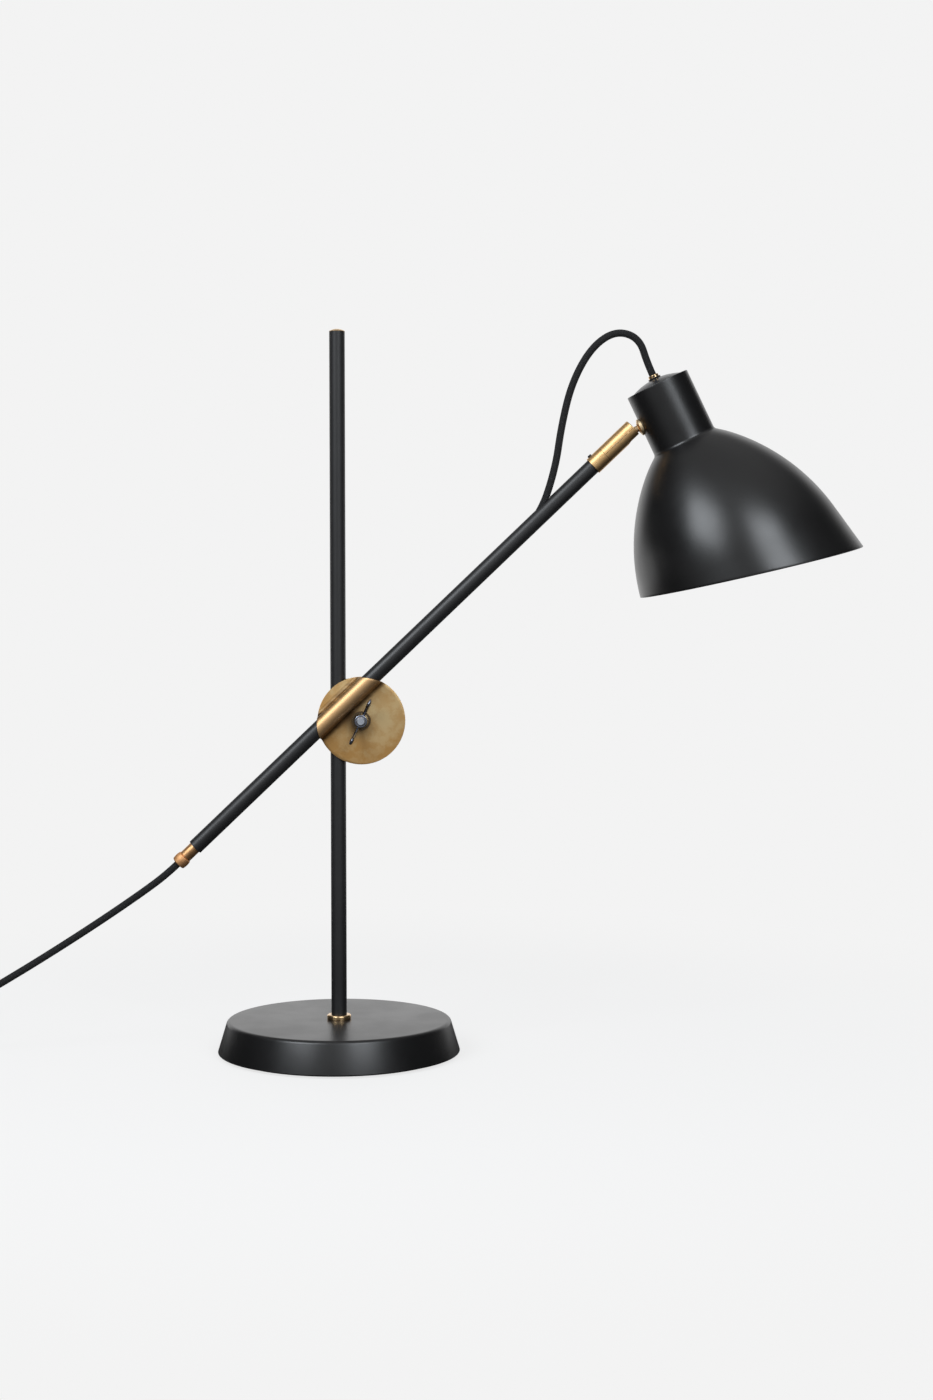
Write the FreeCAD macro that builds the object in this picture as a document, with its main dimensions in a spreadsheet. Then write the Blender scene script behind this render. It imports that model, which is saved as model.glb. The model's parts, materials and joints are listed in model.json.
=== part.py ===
"""Counterweight balance desk lamp, in millimetres.

A round weighted base carries a plain upright pole. Two pressed brass discs with one bolt and a wing nut
clamp a long arm to the pole. A ball knuckle at the arm's upper end carries a spun shade on a short neck,
and the mains lead runs through the arm, out of a slot and over to the neck's top.

The frame: origin under the middle of the base on the pole's axis, +Z up, +X towards the shade.
The arm lies in a plane parallel to XZ, in front of the pole (towards -Y).
"""

import FreeCAD, Part
import math
import os
import re
import Sketcher
from FreeCAD import Placement, Rotation, Vector

SIZES = {
    # base
    "base_dia": 220.0,          # across the lower edge of the cover
    "base_draft": 16.8,         # slope of the cover's side from upright, degrees
    "base_height": 31.0,        # table to the top of the cover
    "base_edge": 4.0,           # radius of the cover's top edge
    "base_wall": 2.0,           # sheet of the cover
    "felt_dia": 204.0,
    "felt_thick": 2.2,          # the cover and the weight end level with its top
    "weight_gap": 0.4,          # iron weight to the cover's side
    "pocket_dia": 32.0,         # recess under the weight for the nut
    "pocket_depth": 14.5,
    # pole
    "tube_dia": 14.0,           # pole and arm
    "tube_wall": 1.3,
    "pole_length": 621.0,
    "pole_cap_rise": 2.4,       # brass cap above the tube
    "plug_depth": 14.0,         # cap and stud inside the tube
    "stud_dia": 10.0,
    "stud_play": 0.1,           # stud in the base, all round
    "stud_end": 2.0,            # stud below its nut
    "collar_dia": 21.8,
    "collar_height": 4.4,
    "base_nut_across": 17.0,
    "base_nut_height": 8.0,
    "base_washer_dia": 26.0,
    "base_washer_thick": 2.0,
    # clamp
    "clamp_height": 303.6,      # table to the bolt
    "disc_dia": 79.0,
    "disc_wall": 1.2,
    "disc_gap": 1.0,            # between the two discs
    "channel_offset": 21.3,     # bolt to the middle of a pressed channel
    "channel_play": 0.1,        # tube in its channel, all round
    "channel_bend": 3.3,        # inner radius of the bends beside the channel
    "tube_gap": 0.3,            # pole to arm where they cross
    "bolt_dia": 8.0,
    "bolt_play": 0.1,
    "bolt_tip": 14.4,           # middle of the clamp to the bolt's tip
    "bolt_head_dia": 18.0,
    "bolt_head_height": 4.2,
    "spacer_dia": 24.0,
    "washer_dia": 17.0,
    "washer_thick": 1.6,
    "hub_dia": 14.0,            # wing nut
    "hub_height": 9.5,
    "wing_span": 42.0,
    "wing_height": 21.0,
    "wing_thick": 2.6,
    "wing_angle": 65.0,         # wings above level, degrees
    # arm
    "arm_angle": 43.72,         # above level, degrees
    "arm_tail": 186.6,          # clamp to the arm's lower end
    "arm_length": 506.4,
    "slot_place": 243.4,        # clamp to the lower end of the cord slot
    "slot_length": 18.0,
    "slot_width": 7.4,
    "fit_play": 0.05,           # turned pieces pushed into each other, all round
    "ferrule_show": 12.5,       # brass sleeve in the arm's lower end, outside it
    "grip_nut_dia": 14.0,
    "grip_nut_length": 9.1,
    # knuckle
    "knuckle_dia": 16.4,
    "sleeve_length": 14.6,
    "sleeve_web": 2.1,
    "spigot_length": 9.0,
    "socket_length": 34.7,
    "socket_wall": 1.6,
    "spigot_dia": 10.0,
    "swivel_play": 0.06,        # turning fits in the knuckle, all round
    "ball_dia": 13.0,
    "ball_drop": 8.0,           # socket's upper end to the ball's middle
    "socket_mouth": 10.0,
    "socket_slot": 7.0,         # width of the side slot
    "slot_drop": 9.0,           # socket's upper end to the middle of the slot's round end
    "saw_width": 0.4,
    "seat_gap": 1.0,            # spigot's end to the ball's seat
    "seat_rim": 3.0,            # ball's middle down to the seat's rim
    "stem_dia": 6.0,            # ball stud's stem
    "stem_reach": 14.4,         # ball's middle to the neck
    "saddle_dia": 15.1,
    "saddle_reach": 12.0,       # ball's middle to the saddle ring
    "saddle_depth": 3.2,        # saddle ring's blank past the neck's nearest point
    "neck_washer_thick": 2.4,
    "neck_nut_across": 10.0,
    "neck_nut_height": 4.0,
    "screw_dia": 3.8,
    "screw_place": 4.0,         # sleeve's lower end to the set screw
    "screw_stand": 1.4,         # set screw outside the sleeve
    # shade
    "shade_lean": 25.7,         # axis from upright, degrees
    "stem_drop": 28.2,          # neck's top to the stem
    "shade_wall": 1.2,
    "neck_dia": 58.2,
    "neck_length": 54.9,        # its straight part
    "neck_fillet": 4.3,
    "shoulder_slope": 53.7,     # bell's slope from its axis where it leaves the neck, degrees
    "shoulder_radius": 120.0,
    "side_slope": 45.0,
    "side_radius": 182.2,
    "flare_slope": 10.7,
    "shade_depth": 186.5,       # neck's top to the rim's plane, along the axis
    "rim_slant": 12.6,          # rim's plane from square, degrees
    # neck cap, cord entry and lampholder
    "cap_rise": 4.8,
    "cap_skirt": 6.0,
    "cap_wall": 1.5,
    "cap_dome_dia": 48.0,
    "cap_dome_radius": 56.0,
    "cap_nut_height": 1.4,
    "nipple_dia": 8.6,
    "grip_dia": 9.4,
    "grip_height": 2.6,
    "ear_dia": 2.0,
    "ear_span": 11.6,
    "lock_nut_across": 11.0,
    "lock_nut_height": 3.0,
    "holder_dia": 39.0,
    "holder_top": 5.0,          # neck's top to the lampholder
    "holder_cap_height": 22.0,
    "holder_body_height": 34.0,
    "holder_wall": 2.2,
    "holder_floor": 4.0,
    "screw_shell_wall": 0.6,
    "contact_dia": 8.0,
    "contact_height": 2.4,
    "bulb_dia": 60.0,
    "bulb_length": 105.0,
    "bulb_play": 0.3,           # bulb's cap in the screw shell, all round
    "bulb_cap_dia": 26.4,
    "bulb_cap_length": 25.0,
    "bulb_wall": 1.0,
    # cord, switch and plug
    "cord_dia": 6.5,
    "cord_play": 0.15,          # cord in its fittings, all round
    "cord_bow": 28.3,           # slot's lower end to where the cord starts to leave the arm's axis
    "cord_depth": 5.0,          # neck's top to the loop's upper end
    "switch_length": 62.0,
    "switch_width": 27.0,
    "switch_height": 17.0,
    "switch_wall": 1.8,
    "rocker_length": 17.0,
    "rocker_width": 9.0,
    "rocker_play": 0.4,
    "rocker_pin_dia": 3.0,
    "rocker_rise": 1.6,         # rocker's ends above the cover
    "rocker_tilt": 7.0,         # either way, degrees
    "switch_post_across": 8.0,
    "switch_post_along": 20.0,
    "switch_screw_dia": 2.6,
    "switch_screw_head": 1.6,
    "relief_dia": 11.0,
    "relief_wall": 1.2,
    "relief_short": 11.0,
    "relief_long": 22.0,
    "plug_length": 37.0,
    "plug_width": 35.3,
    "plug_thick": 13.7,
    "plug_tail_width": 13.0,
    "pin_dia": 4.0,
    "pin_length": 19.0,
    "pin_spacing": 19.0,
    "pin_seat": 10.0,           # pin inside the plug
    "plug_round": 2.5,
    "coil_turns": 2.75,         # turns in each of the coil's two layers
    "coil_inner": 28.7,         # radius of the innermost turn's middle
    "coil_pitch": 7.1,          # from turn to turn and from layer to layer
}

doc = FreeCAD.newDocument("balance_desk_lamp")
sheet = doc.addObject("Spreadsheet::Sheet", "Sizes")
for row, (alias, amount) in enumerate(SIZES.items(), start=1):
    sheet.set(f"A{row}", alias)
    sheet.set(f"B{row}", str(amount))
    sheet.setAlias(f"B{row}", alias)
doc.recompute()

TOUCH = 1e-6    # lengths nearer than this are taken as equal
WORDS = re.compile(r"\b(" + "|".join(SIZES) + r")\b")


def linked(text):
    """An expression whose size names point to the sheet; a bare angle name is written as name * 1 deg."""
    return WORDS.sub(r"Sizes.\1", text)


def value(text):
    """The number that an expression of size names gives."""
    result = sheet.evalExpression(linked(text))
    return float(getattr(result, "Value", result))


def bind(thing, setting, text):
    """Sets a property of a document object from the sheet."""
    thing.setExpression(setting, linked(text))


# ---- outlines, and the bodies made from them ----


def new_body(label, place=Placement()):
    body = doc.addObject("PartDesign::Body", label)
    body.Label = label
    body.Placement = place
    return body


def new_sketch(body, plane, raised=None):
    """An empty sketch on one of the body's own planes, raised above it by an expression."""
    sketch = body.newObject("Sketcher::SketchObject", body.Name + "_outline")
    support = next(f for f in body.Origin.OriginFeatures if f.Role == plane)
    sketch.AttachmentSupport = (support, [""])
    sketch.MapMode = "FlatFace"
    if raised is not None:
        bind(sketch, "AttachmentOffset.Base.z", raised)
    return sketch


def pin_point(sketch, geometry, end, across, up):
    """Holds one end of a line or arc at a place given by two expressions."""
    for kind, text, axis in (("DistanceX", across, -2), ("DistanceY", up, -1)):
        amount = value(text)
        if abs(amount) < TOUCH:
            sketch.addConstraint(Sketcher.Constraint("PointOnObject", geometry, end, axis))
        else:
            number = sketch.addConstraint(Sketcher.Constraint(kind, geometry, end, amount))
            bind(sketch, f"Constraints[{number}]", text)


def arc_between(start, finish, radius, left):
    """The shorter arc from start to finish that turns left (anticlockwise) or right."""
    chord = finish - start
    half = chord.Length / 2
    rise = math.sqrt(max(radius * radius - half * half, 0.0))
    normal = Vector(-chord.y, chord.x, 0).normalize()
    centre = start + chord * 0.5 + normal * (rise if left else -rise)
    first, last = (start, finish) if left else (finish, start)
    circle = Part.Circle(centre, Vector(0, 0, 1), radius)
    return Part.ArcOfCircle(circle, circle.parameter(first), circle.parameter(last))


def draw(sketch, points):
    """Draws a closed outline. A point is (across, up), or (across, up, radius, turn) where an arc arrives
    at it, turning "left" or "right"."""
    spots = [Vector(value(p[0]), value(p[1]), 0) for p in points]
    ends = []
    for number, point in enumerate(points):
        start, finish = spots[number - 1], spots[number]
        if len(point) == 4:
            left = point[3] == "left"
            geometry = sketch.addGeometry(arc_between(start, finish, value(point[2]), left), False)
            rule = sketch.addConstraint(Sketcher.Constraint("Radius", geometry, value(point[2])))
            bind(sketch, f"Constraints[{rule}]", point[2])
            ends.append((geometry, 1 if left else 2, 2 if left else 1))
        else:
            geometry = sketch.addGeometry(Part.LineSegment(start, finish), False)
            ends.append((geometry, 1, 2))
    for number, point in enumerate(points):
        geometry, _, last = ends[number]
        follower, first, _ = ends[(number + 1) % len(points)]
        sketch.addConstraint(Sketcher.Constraint("Coincident", geometry, last, follower, first))
        pin_point(sketch, geometry, last, point[0], point[1])
    return sketch


def ring(sketch, across, up, radius):
    """Draws a circle."""
    circle = Part.Circle(Vector(value(across), value(up), 0), Vector(0, 0, 1), value(radius))
    geometry = sketch.addGeometry(circle, False)
    rule = sketch.addConstraint(Sketcher.Constraint("Radius", geometry, value(radius)))
    bind(sketch, f"Constraints[{rule}]", radius)
    pin_point(sketch, geometry, 3, across, up)
    return sketch


def hexagon(sketch, across_flats):
    """Draws a six-sided outline about the origin."""
    corners = [(f"({across_flats}) / 2 / cos(30 deg) * cos({60 * n + 30} deg)",
                f"({across_flats}) / 2 / cos(30 deg) * sin({60 * n + 30} deg)") for n in range(6)]
    return draw(sketch, corners)


def turn(body, points):
    """Revolves an outline of (radius, height) points about the body's Z axis."""
    sketch = draw(new_sketch(body, "XZ_Plane"), points)
    feature = body.newObject("PartDesign::Revolution", body.Name + "_turned")
    feature.Profile = sketch
    feature.ReferenceAxis = (sketch, ["V_Axis"])
    feature.Angle = 360
    sketch.Visibility = False
    return feature


def turned(label, points, place=Placement()):
    """A piece turned on a lathe: its half section revolved about its own Z axis."""
    body = new_body(label, place)
    turn(body, points)
    return body


def pad(body, sketch, length, middle=False, backward=False):
    """Raises a sketch's region into material."""
    feature = body.newObject("PartDesign::Pad", sketch.Name + "_pad")
    feature.Profile = sketch
    bind(feature, "Length", length)
    feature.Midplane = middle
    feature.Reversed = backward
    sketch.Visibility = False
    return feature


def cut(body, sketch, length, middle=False, backward=False):
    """Cuts a sketch's region out, and checks that it took material away."""
    doc.recompute()
    before = body.Shape.Volume
    feature = body.newObject("PartDesign::Pocket", sketch.Name + "_cut")
    feature.Profile = sketch
    bind(feature, "Length", length)
    feature.Midplane = middle
    feature.Reversed = backward
    sketch.Visibility = False
    doc.recompute()
    if not body.Shape.Volume < before - TOUCH:
        raise ValueError(f"{body.Label}: a cut takes nothing away")
    return feature


def rounded(body, feature, edges, radius):
    """Rounds edges of a feature."""
    fillet = body.newObject("PartDesign::Fillet", feature.Name + "_round")
    fillet.Base = (feature, edges)
    bind(fillet, "Radius", radius)
    return fillet


def edges_at(feature, level):
    """Names of the edges of a feature that lie at one level of the body's own Z."""
    doc.recompute()
    return [f"Edge{number}" for number, edge in enumerate(feature.Shape.Edges, start=1)
            if all(abs(vertex.Point.z - level) < TOUCH for vertex in edge.Vertexes)]


def group(label, members):
    """Identical small pieces kept together in one node."""
    compound = doc.addObject("Part::Compound", label)
    compound.Label = label
    compound.Links = members
    return compound


# ---- frames of the sub-assemblies ----

LEVEL_Y = Vector(0, 1, 0)
arm_angle = math.radians(value("arm_angle"))
shade_lean = math.radians(value("shade_lean"))
arm_way = Vector(math.cos(arm_angle), 0, math.sin(arm_angle))
arm_side = Vector(-math.sin(arm_angle), 0, math.cos(arm_angle))
stem_way = Vector(math.cos(shade_lean), 0, math.sin(shade_lean))
shade_down = Vector(math.sin(shade_lean), 0, -math.cos(shade_lean))

TUBE_SPACING = "(tube_dia + tube_gap)"
clamp_middle = Vector(value("channel_offset"), -value(TUBE_SPACING) / 2, value("clamp_height"))
arm_foot = clamp_middle + arm_side * value("channel_offset") - LEVEL_Y * value(TUBE_SPACING) / 2
BALL_PLACE = "(arm_length - arm_tail + sleeve_web + socket_length - ball_drop)"
ball_middle = arm_foot + arm_way * value(BALL_PLACE)
neck_top = ball_middle + stem_way * value("stem_reach + neck_dia / 2") - shade_down * value("stem_drop")


def arm_place(distance):
    """A frame on the arm's axis, Z along the arm, X to the lower right."""
    return Placement(arm_foot + arm_way * distance, Rotation(-arm_side, LEVEL_Y, arm_way, "ZXY"))


stem_place = Placement(ball_middle, Rotation(shade_down, LEVEL_Y, stem_way, "ZXY"))
shade_place = Placement(neck_top, Rotation(stem_way, LEVEL_Y, shade_down * -1, "ZXY"))
front_place = Placement(clamp_middle, Rotation(arm_way, arm_side, LEVEL_Y * -1, "ZXY"))
rear_place = Placement(clamp_middle, Rotation(Vector(0, 0, -1), Vector(-1, 0, 0), LEVEL_Y, "ZXY"))


# ---- base ----


def cover_corner():
    """Radius, from the pole's axis, of the centre of the cover's top edge."""
    rise = "(base_height - felt_thick - base_edge * (1 - sin(base_draft * 1 deg)))"
    return f"(base_dia / 2 - {rise} * tan(base_draft * 1 deg) - base_edge * cos(base_draft * 1 deg))"


def make_base():
    corner = cover_corner()
    slope = "cos(base_draft * 1 deg)"
    drop = "sin(base_draft * 1 deg)"
    hole = "(stud_dia / 2 + stud_play)"
    inner_edge = "(base_edge - base_wall)"
    turned("base_cover", [
        (hole, "base_height - base_wall"),
        (corner, "base_height - base_wall"),
        (f"{corner} + {inner_edge} * {slope}", f"base_height - base_edge + {inner_edge} * {drop}",
         inner_edge, "right"),
        (f"base_dia / 2 - base_wall / {slope}", "felt_thick"),
        ("base_dia / 2", "felt_thick"),
        (f"{corner} + base_edge * {slope}", f"base_height - base_edge + base_edge * {drop}"),
        (corner, "base_height", "base_edge", "left"),
        (hole, "base_height"),
    ])
    side = f"(base_dia / 2 - base_wall / {slope} - weight_gap)"
    shoulder = "(base_height - base_edge)"
    turned("base_weight", [
        (hole, "felt_thick + pocket_depth"),
        ("pocket_dia / 2", "felt_thick + pocket_depth"),
        ("pocket_dia / 2", "felt_thick"),
        (side, "felt_thick"),
        (f"{side} - ({shoulder} - felt_thick) * tan(base_draft * 1 deg)", shoulder),
        (f"{corner} - weight_gap", "base_height - base_wall"),
        (hole, "base_height - base_wall"),
    ])
    turned("base_felt", [("0", "0"), ("felt_dia / 2", "0"), ("felt_dia / 2", "felt_thick"), ("0", "felt_thick")])


# ---- pole ----


def make_pole():
    foot = Placement(Vector(0, 0, value("base_height")), Rotation())
    tube = new_body("pole_tube", foot)
    section = new_sketch(tube, "XY_Plane")
    ring(section, "0", "0", "tube_dia / 2")
    ring(section, "0", "0", "tube_dia / 2 - tube_wall")
    pad(tube, section, "pole_length")

    bore = "(tube_dia / 2 - tube_wall - fit_play)"
    nut_top = "(felt_thick + pocket_depth - base_washer_thick)"
    stud_foot = f"({nut_top} - base_nut_height - stud_end - base_height)"
    turned("pole_stud", [
        ("0", stud_foot),
        ("stud_dia / 2", stud_foot),
        ("stud_dia / 2", "0"),
        (bore, "0"),
        (bore, "plug_depth"),
        ("0", "plug_depth"),
    ], foot)

    rim = "pole_cap_rise / 6"
    crown = "(pole_cap_rise * 5 / 6)"
    dome = f"((tube_dia / 2) ^ 2 + {crown} ^ 2) / (2 * {crown})"
    turned("pole_cap", [
        ("0", "-plug_depth"),
        (bore, "-plug_depth"),
        (bore, "0"),
        ("tube_dia / 2", "0"),
        ("tube_dia / 2", rim),
        ("0", "pole_cap_rise", dome, "left"),
    ], Placement(Vector(0, 0, value("base_height + pole_length")), Rotation()))

    inside = "(tube_dia / 2 + fit_play)"
    round_edge = "collar_height / 3"
    turned("pole_collar", [
        (inside, "0"),
        ("collar_dia / 2", "0"),
        ("collar_dia / 2", f"collar_height - {round_edge}"),
        (f"collar_dia / 2 - {round_edge}", "collar_height", round_edge, "left"),
        (inside, "collar_height"),
    ], foot)

    bore = "(stud_dia / 2 + fit_play)"
    turned("base_washer", [
        (bore, "0"), ("base_washer_dia / 2", "0"),
        ("base_washer_dia / 2", "base_washer_thick"), (bore, "base_washer_thick"),
    ], Placement(Vector(0, 0, value(nut_top)), Rotation()))
    nut = new_body("base_nut", Placement(Vector(0, 0, value(f"{nut_top} - base_nut_height")), Rotation()))
    section = hexagon(new_sketch(nut, "XY_Plane"), "base_nut_across")
    ring(section, "0", "0", bore)
    pad(nut, section, "base_nut_height")


# ---- clamp ----

FLAT_OUT = "(disc_gap / 2 + disc_wall)"


def clamp_disc(label, place):
    """A pressed disc with one channel for a tube; X runs along the channel, Z away from the other disc."""
    body = new_body(label, place)
    inner = "(tube_dia / 2 + channel_play)"
    outer = f"({inner} + disc_wall)"
    level = f"{TUBE_SPACING} / 2"
    bend = f"{FLAT_OUT} + channel_bend"
    foot = f"({outer} + channel_bend)"
    inner_bend = "(channel_bend + disc_wall)"
    section = draw(new_sketch(body, "YZ_Plane"), [
        ("-disc_dia", "disc_gap / 2"),
        (f"channel_offset - {foot}", "disc_gap / 2"),
        (f"channel_offset - {inner}", bend, inner_bend, "left"),
        (f"channel_offset - {inner}", level),
        ("channel_offset", f"{level} + {inner}", inner, "right"),
        (f"channel_offset + {inner}", level, inner, "right"),
        (f"channel_offset + {inner}", bend),
        (f"channel_offset + {foot}", "disc_gap / 2", inner_bend, "left"),
        ("disc_dia", "disc_gap / 2"),
        ("disc_dia", FLAT_OUT),
        (f"channel_offset + {foot}", FLAT_OUT),
        (f"channel_offset + {outer}", bend, "channel_bend", "right"),
        (f"channel_offset + {outer}", level),
        ("channel_offset", f"{level} + {outer}", outer, "left"),
        (f"channel_offset - {outer}", level, outer, "left"),
        (f"channel_offset - {outer}", bend),
        (f"channel_offset - {foot}", FLAT_OUT, "channel_bend", "right"),
        ("-disc_dia", FLAT_OUT),
    ])
    pad(body, section, "disc_dia * 2", middle=True)
    trim = new_sketch(body, "XY_Plane")
    ring(trim, "0", "0", "disc_dia * 2")
    ring(trim, "0", "0", "disc_dia / 2")
    ring(trim, "0", "0", "bolt_dia / 2 + bolt_play")
    cut(body, trim, "disc_dia", middle=True)


def make_clamp():
    clamp_disc("clamp_disc_front", front_place)
    clamp_disc("clamp_disc_rear", rear_place)
    head = f"{FLAT_OUT} + bolt_head_height"
    crown = "(bolt_head_height * 3 / 4)"
    dome = f"((bolt_head_dia / 2) ^ 2 + {crown} ^ 2) / (2 * {crown})"
    turned("clamp_bolt", [
        ("0", f"-({head})"),
        ("bolt_head_dia / 2", f"-({head} - {crown})", dome, "left"),
        ("bolt_head_dia / 2", f"-{FLAT_OUT}"),
        ("bolt_dia / 2", f"-{FLAT_OUT}"),
        ("bolt_dia / 2", "bolt_tip - bolt_dia / 8"),
        ("bolt_dia * 3 / 8", "bolt_tip"),
        ("0", "bolt_tip"),
    ], front_place)
    bore = "(bolt_dia / 2 + fit_play)"
    turned("clamp_spacer", [
        (bore, "-disc_gap / 2"), ("spacer_dia / 2", "-disc_gap / 2"),
        ("spacer_dia / 2", "disc_gap / 2"), (bore, "disc_gap / 2"),
    ], front_place)
    bore = "(bolt_dia / 2 + bolt_play)"
    turned("clamp_washer", [
        (bore, FLAT_OUT), ("washer_dia / 2", FLAT_OUT),
        ("washer_dia / 2", f"{FLAT_OUT} + washer_thick"), (bore, f"{FLAT_OUT} + washer_thick"),
    ], front_place)


def make_wing_nut():
    """A hub with two upswept leaf-shaped wings, which pass above the front disc's channel."""
    tilt = math.radians(value("wing_angle"))
    across = Vector(math.cos(tilt), 0, math.sin(tilt))
    base = clamp_middle - LEVEL_Y * value(f"{FLAT_OUT} + washer_thick")
    place = Placement(base, Rotation(across, Vector(-math.sin(tilt), 0, math.cos(tilt)), LEVEL_Y * -1, "ZXY"))
    body = new_body("wing_nut", place)
    bore = "(bolt_dia / 2 + bolt_play)"
    turn(body, [
        (bore, "0"),
        ("hub_dia / 2", "0"),
        ("hub_dia / 2", "hub_height / 5"),
        ("hub_dia / 2 - hub_height / 8", "hub_height"),
        (bore, "hub_height"),
    ])
    for side in ("", "-"):
        bend = ("right", "left") if side else ("left", "right")
        wing = draw(new_sketch(body, "XZ_Plane"), [
            (f"{side}hub_dia * 0.38", "hub_height * 0.2"),
            (f"{side}wing_span * 0.24", "hub_height * 0.42"),
            (f"{side}wing_span * 0.37", "wing_height * 0.56", "wing_span * 0.45", bend[0]),
            (f"{side}wing_span * 0.5", "wing_height * 0.84", "wing_span * 0.3", bend[0]),
            (f"{side}wing_span * 0.43", "wing_height", "wing_span * 0.09", bend[0]),
            (f"{side}wing_span * 0.27", "wing_height * 0.72", "wing_span * 0.35", bend[0]),
            (f"{side}hub_dia * 0.38", "hub_height * 0.8", "wing_span * 0.45", bend[1]),
        ])
        pad(body, wing, "wing_thick", middle=True)


# ---- arm ----


def stadium(sketch, middle, length, width):
    """Draws a slot's outline, upright in the sketch, about a point of its vertical axis."""
    half = f"({width}) / 2"
    reach = f"(({length}) - ({width})) / 2"
    low, high = f"({middle}) - {reach}", f"({middle}) + {reach}"
    return draw(sketch, [
        (half, high),
        ("0", f"{high} + {half}", half, "left"),
        (f"-{half}", high, half, "left"),
        (f"-{half}", low),
        ("0", f"{low} - {half}", half, "left"),
        (half, low, half, "left"),
    ])


CORD_BORE = "(cord_dia / 2 + cord_play)"


def make_arm():
    end = arm_place(-value("arm_tail"))
    tube = new_body("arm_tube", end)
    section = new_sketch(tube, "XY_Plane")
    ring(section, "0", "0", "tube_dia / 2")
    ring(section, "0", "0", "tube_dia / 2 - tube_wall")
    pad(tube, section, "arm_length")
    slot = stadium(new_sketch(tube, "YZ_Plane"), "arm_tail + slot_place + slot_length / 2", "slot_length",
                   "slot_width")
    cut(tube, slot, "tube_dia")

    outside = "(tube_dia / 2 - tube_wall - fit_play)"
    turned("arm_end_sleeve", [
        (CORD_BORE, "-ferrule_show"), (outside, "-ferrule_show"), (outside, "ferrule_show"),
        (CORD_BORE, "ferrule_show"),
    ], end)
    low, high = "(-ferrule_show - grip_nut_length)", "(-ferrule_show)"
    waist = "(grip_nut_dia / 2 - grip_nut_length / 11)"
    bulge = "(grip_nut_length * 1.6)"
    turned("cord_grip_nut", [
        (CORD_BORE, low),
        (f"{waist} - grip_nut_length / 9", low),
        (waist, f"{low} + grip_nut_length / 9", "grip_nut_length / 9", "left"),
        ("grip_nut_dia / 2", f"{low} + grip_nut_length / 2", bulge, "left"),
        (waist, f"{high} - grip_nut_length / 9", bulge, "left"),
        (f"{waist} - grip_nut_length / 9", high, "grip_nut_length / 9", "left"),
        (CORD_BORE, high),
    ], end)


# ---- knuckle ----


def make_knuckle():
    seat = "(sleeve_length - sleeve_web)"
    sleeve = new_body("knuckle_sleeve", arm_place(value(f"arm_length - arm_tail - {seat}")))
    turn(sleeve, [
        ("0", seat),
        ("tube_dia / 2 + fit_play", seat),
        ("tube_dia / 2 + fit_play", "0"),
        ("knuckle_dia / 2", "0"),
        ("knuckle_dia / 2", "sleeve_length"),
        ("spigot_dia / 2", "sleeve_length"),
        ("spigot_dia / 2", "sleeve_length + spigot_length"),
        ("0", "sleeve_length + spigot_length"),
    ])
    cut(sleeve, ring(new_sketch(sleeve, "YZ_Plane"), "0", "screw_place", "screw_dia / 2 + fit_play"), "knuckle_dia")

    inner = "(tube_dia / 2 + fit_play)"
    outer = "(knuckle_dia / 2 + screw_stand)"
    screw_way = Rotation(Vector(0, 1, 0), -90)
    screw = arm_place(value(f"arm_length - arm_tail - {seat} + screw_place"))
    screw.Rotation = screw.Rotation.multiply(screw_way)
    turned("knuckle_set_screw", [
        ("0", inner),
        ("screw_dia / 2", inner),
        ("screw_dia / 2", f"{outer} - screw_dia / 8"),
        ("screw_dia * 3 / 8", outer),
        ("screw_dia / 4", outer),
        ("screw_dia / 4", f"{outer} - screw_dia / 3"),
        ("0", f"{outer} - screw_dia / 3"),
    ], screw)

    ball_place = arm_place(value(BALL_PLACE))
    foot = "(ball_drop - socket_length)"
    floor = f"({foot} + spigot_length + seat_gap)"
    chamber = "(knuckle_dia / 2 - socket_wall)"
    mouth = "(socket_mouth / 2)"
    edge = "(socket_wall * 3 / 8)"
    socket = new_body("knuckle_socket", ball_place)
    turn(socket, [
        ("spigot_dia / 2 + swivel_play", floor),
        ("spigot_dia / 2 + swivel_play", foot),
        ("knuckle_dia / 2", foot),
        ("knuckle_dia / 2", f"ball_drop - {edge}"),
        (f"knuckle_dia / 2 - {edge}", "ball_drop", edge, "left"),
        (mouth, "ball_drop"),
        (mouth, f"sqrt({chamber} ^ 2 - {mouth} ^ 2)"),
        (chamber, "0", chamber, "right"),
        (chamber, floor),
    ])
    stem_slot = draw(new_sketch(socket, "YZ_Plane"), [
        ("socket_slot / 2", "ball_drop * 2"),
        ("-socket_slot / 2", "ball_drop * 2"),
        ("-socket_slot / 2", "ball_drop - slot_drop"),
        ("0", "ball_drop - slot_drop - socket_slot / 2", "socket_slot / 2", "left"),
        ("socket_slot / 2", "ball_drop - slot_drop", "socket_slot / 2", "left"),
    ])
    cut(socket, stem_slot, "knuckle_dia", backward=True)
    saw_cut = draw(new_sketch(socket, "XZ_Plane"), [
        ("-saw_width / 2", f"{foot} - saw_width"),
        ("saw_width / 2", f"{foot} - saw_width"),
        ("saw_width / 2", "ball_drop * 2"),
        ("-saw_width / 2", "ball_drop * 2"),
    ])
    cut(socket, saw_cut, "knuckle_dia", backward=True)

    cup = "(ball_dia / 2 + swivel_play)"
    skirt = f"({chamber} - fit_play)"
    turned("ball_seat", [
        ("0", floor),
        (skirt, floor),
        (skirt, "-seat_rim"),
        (f"sqrt({cup} ^ 2 - seat_rim ^ 2)", "-seat_rim"),
        ("0", f"-{cup}", cup, "right"),
    ], ball_place)


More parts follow.
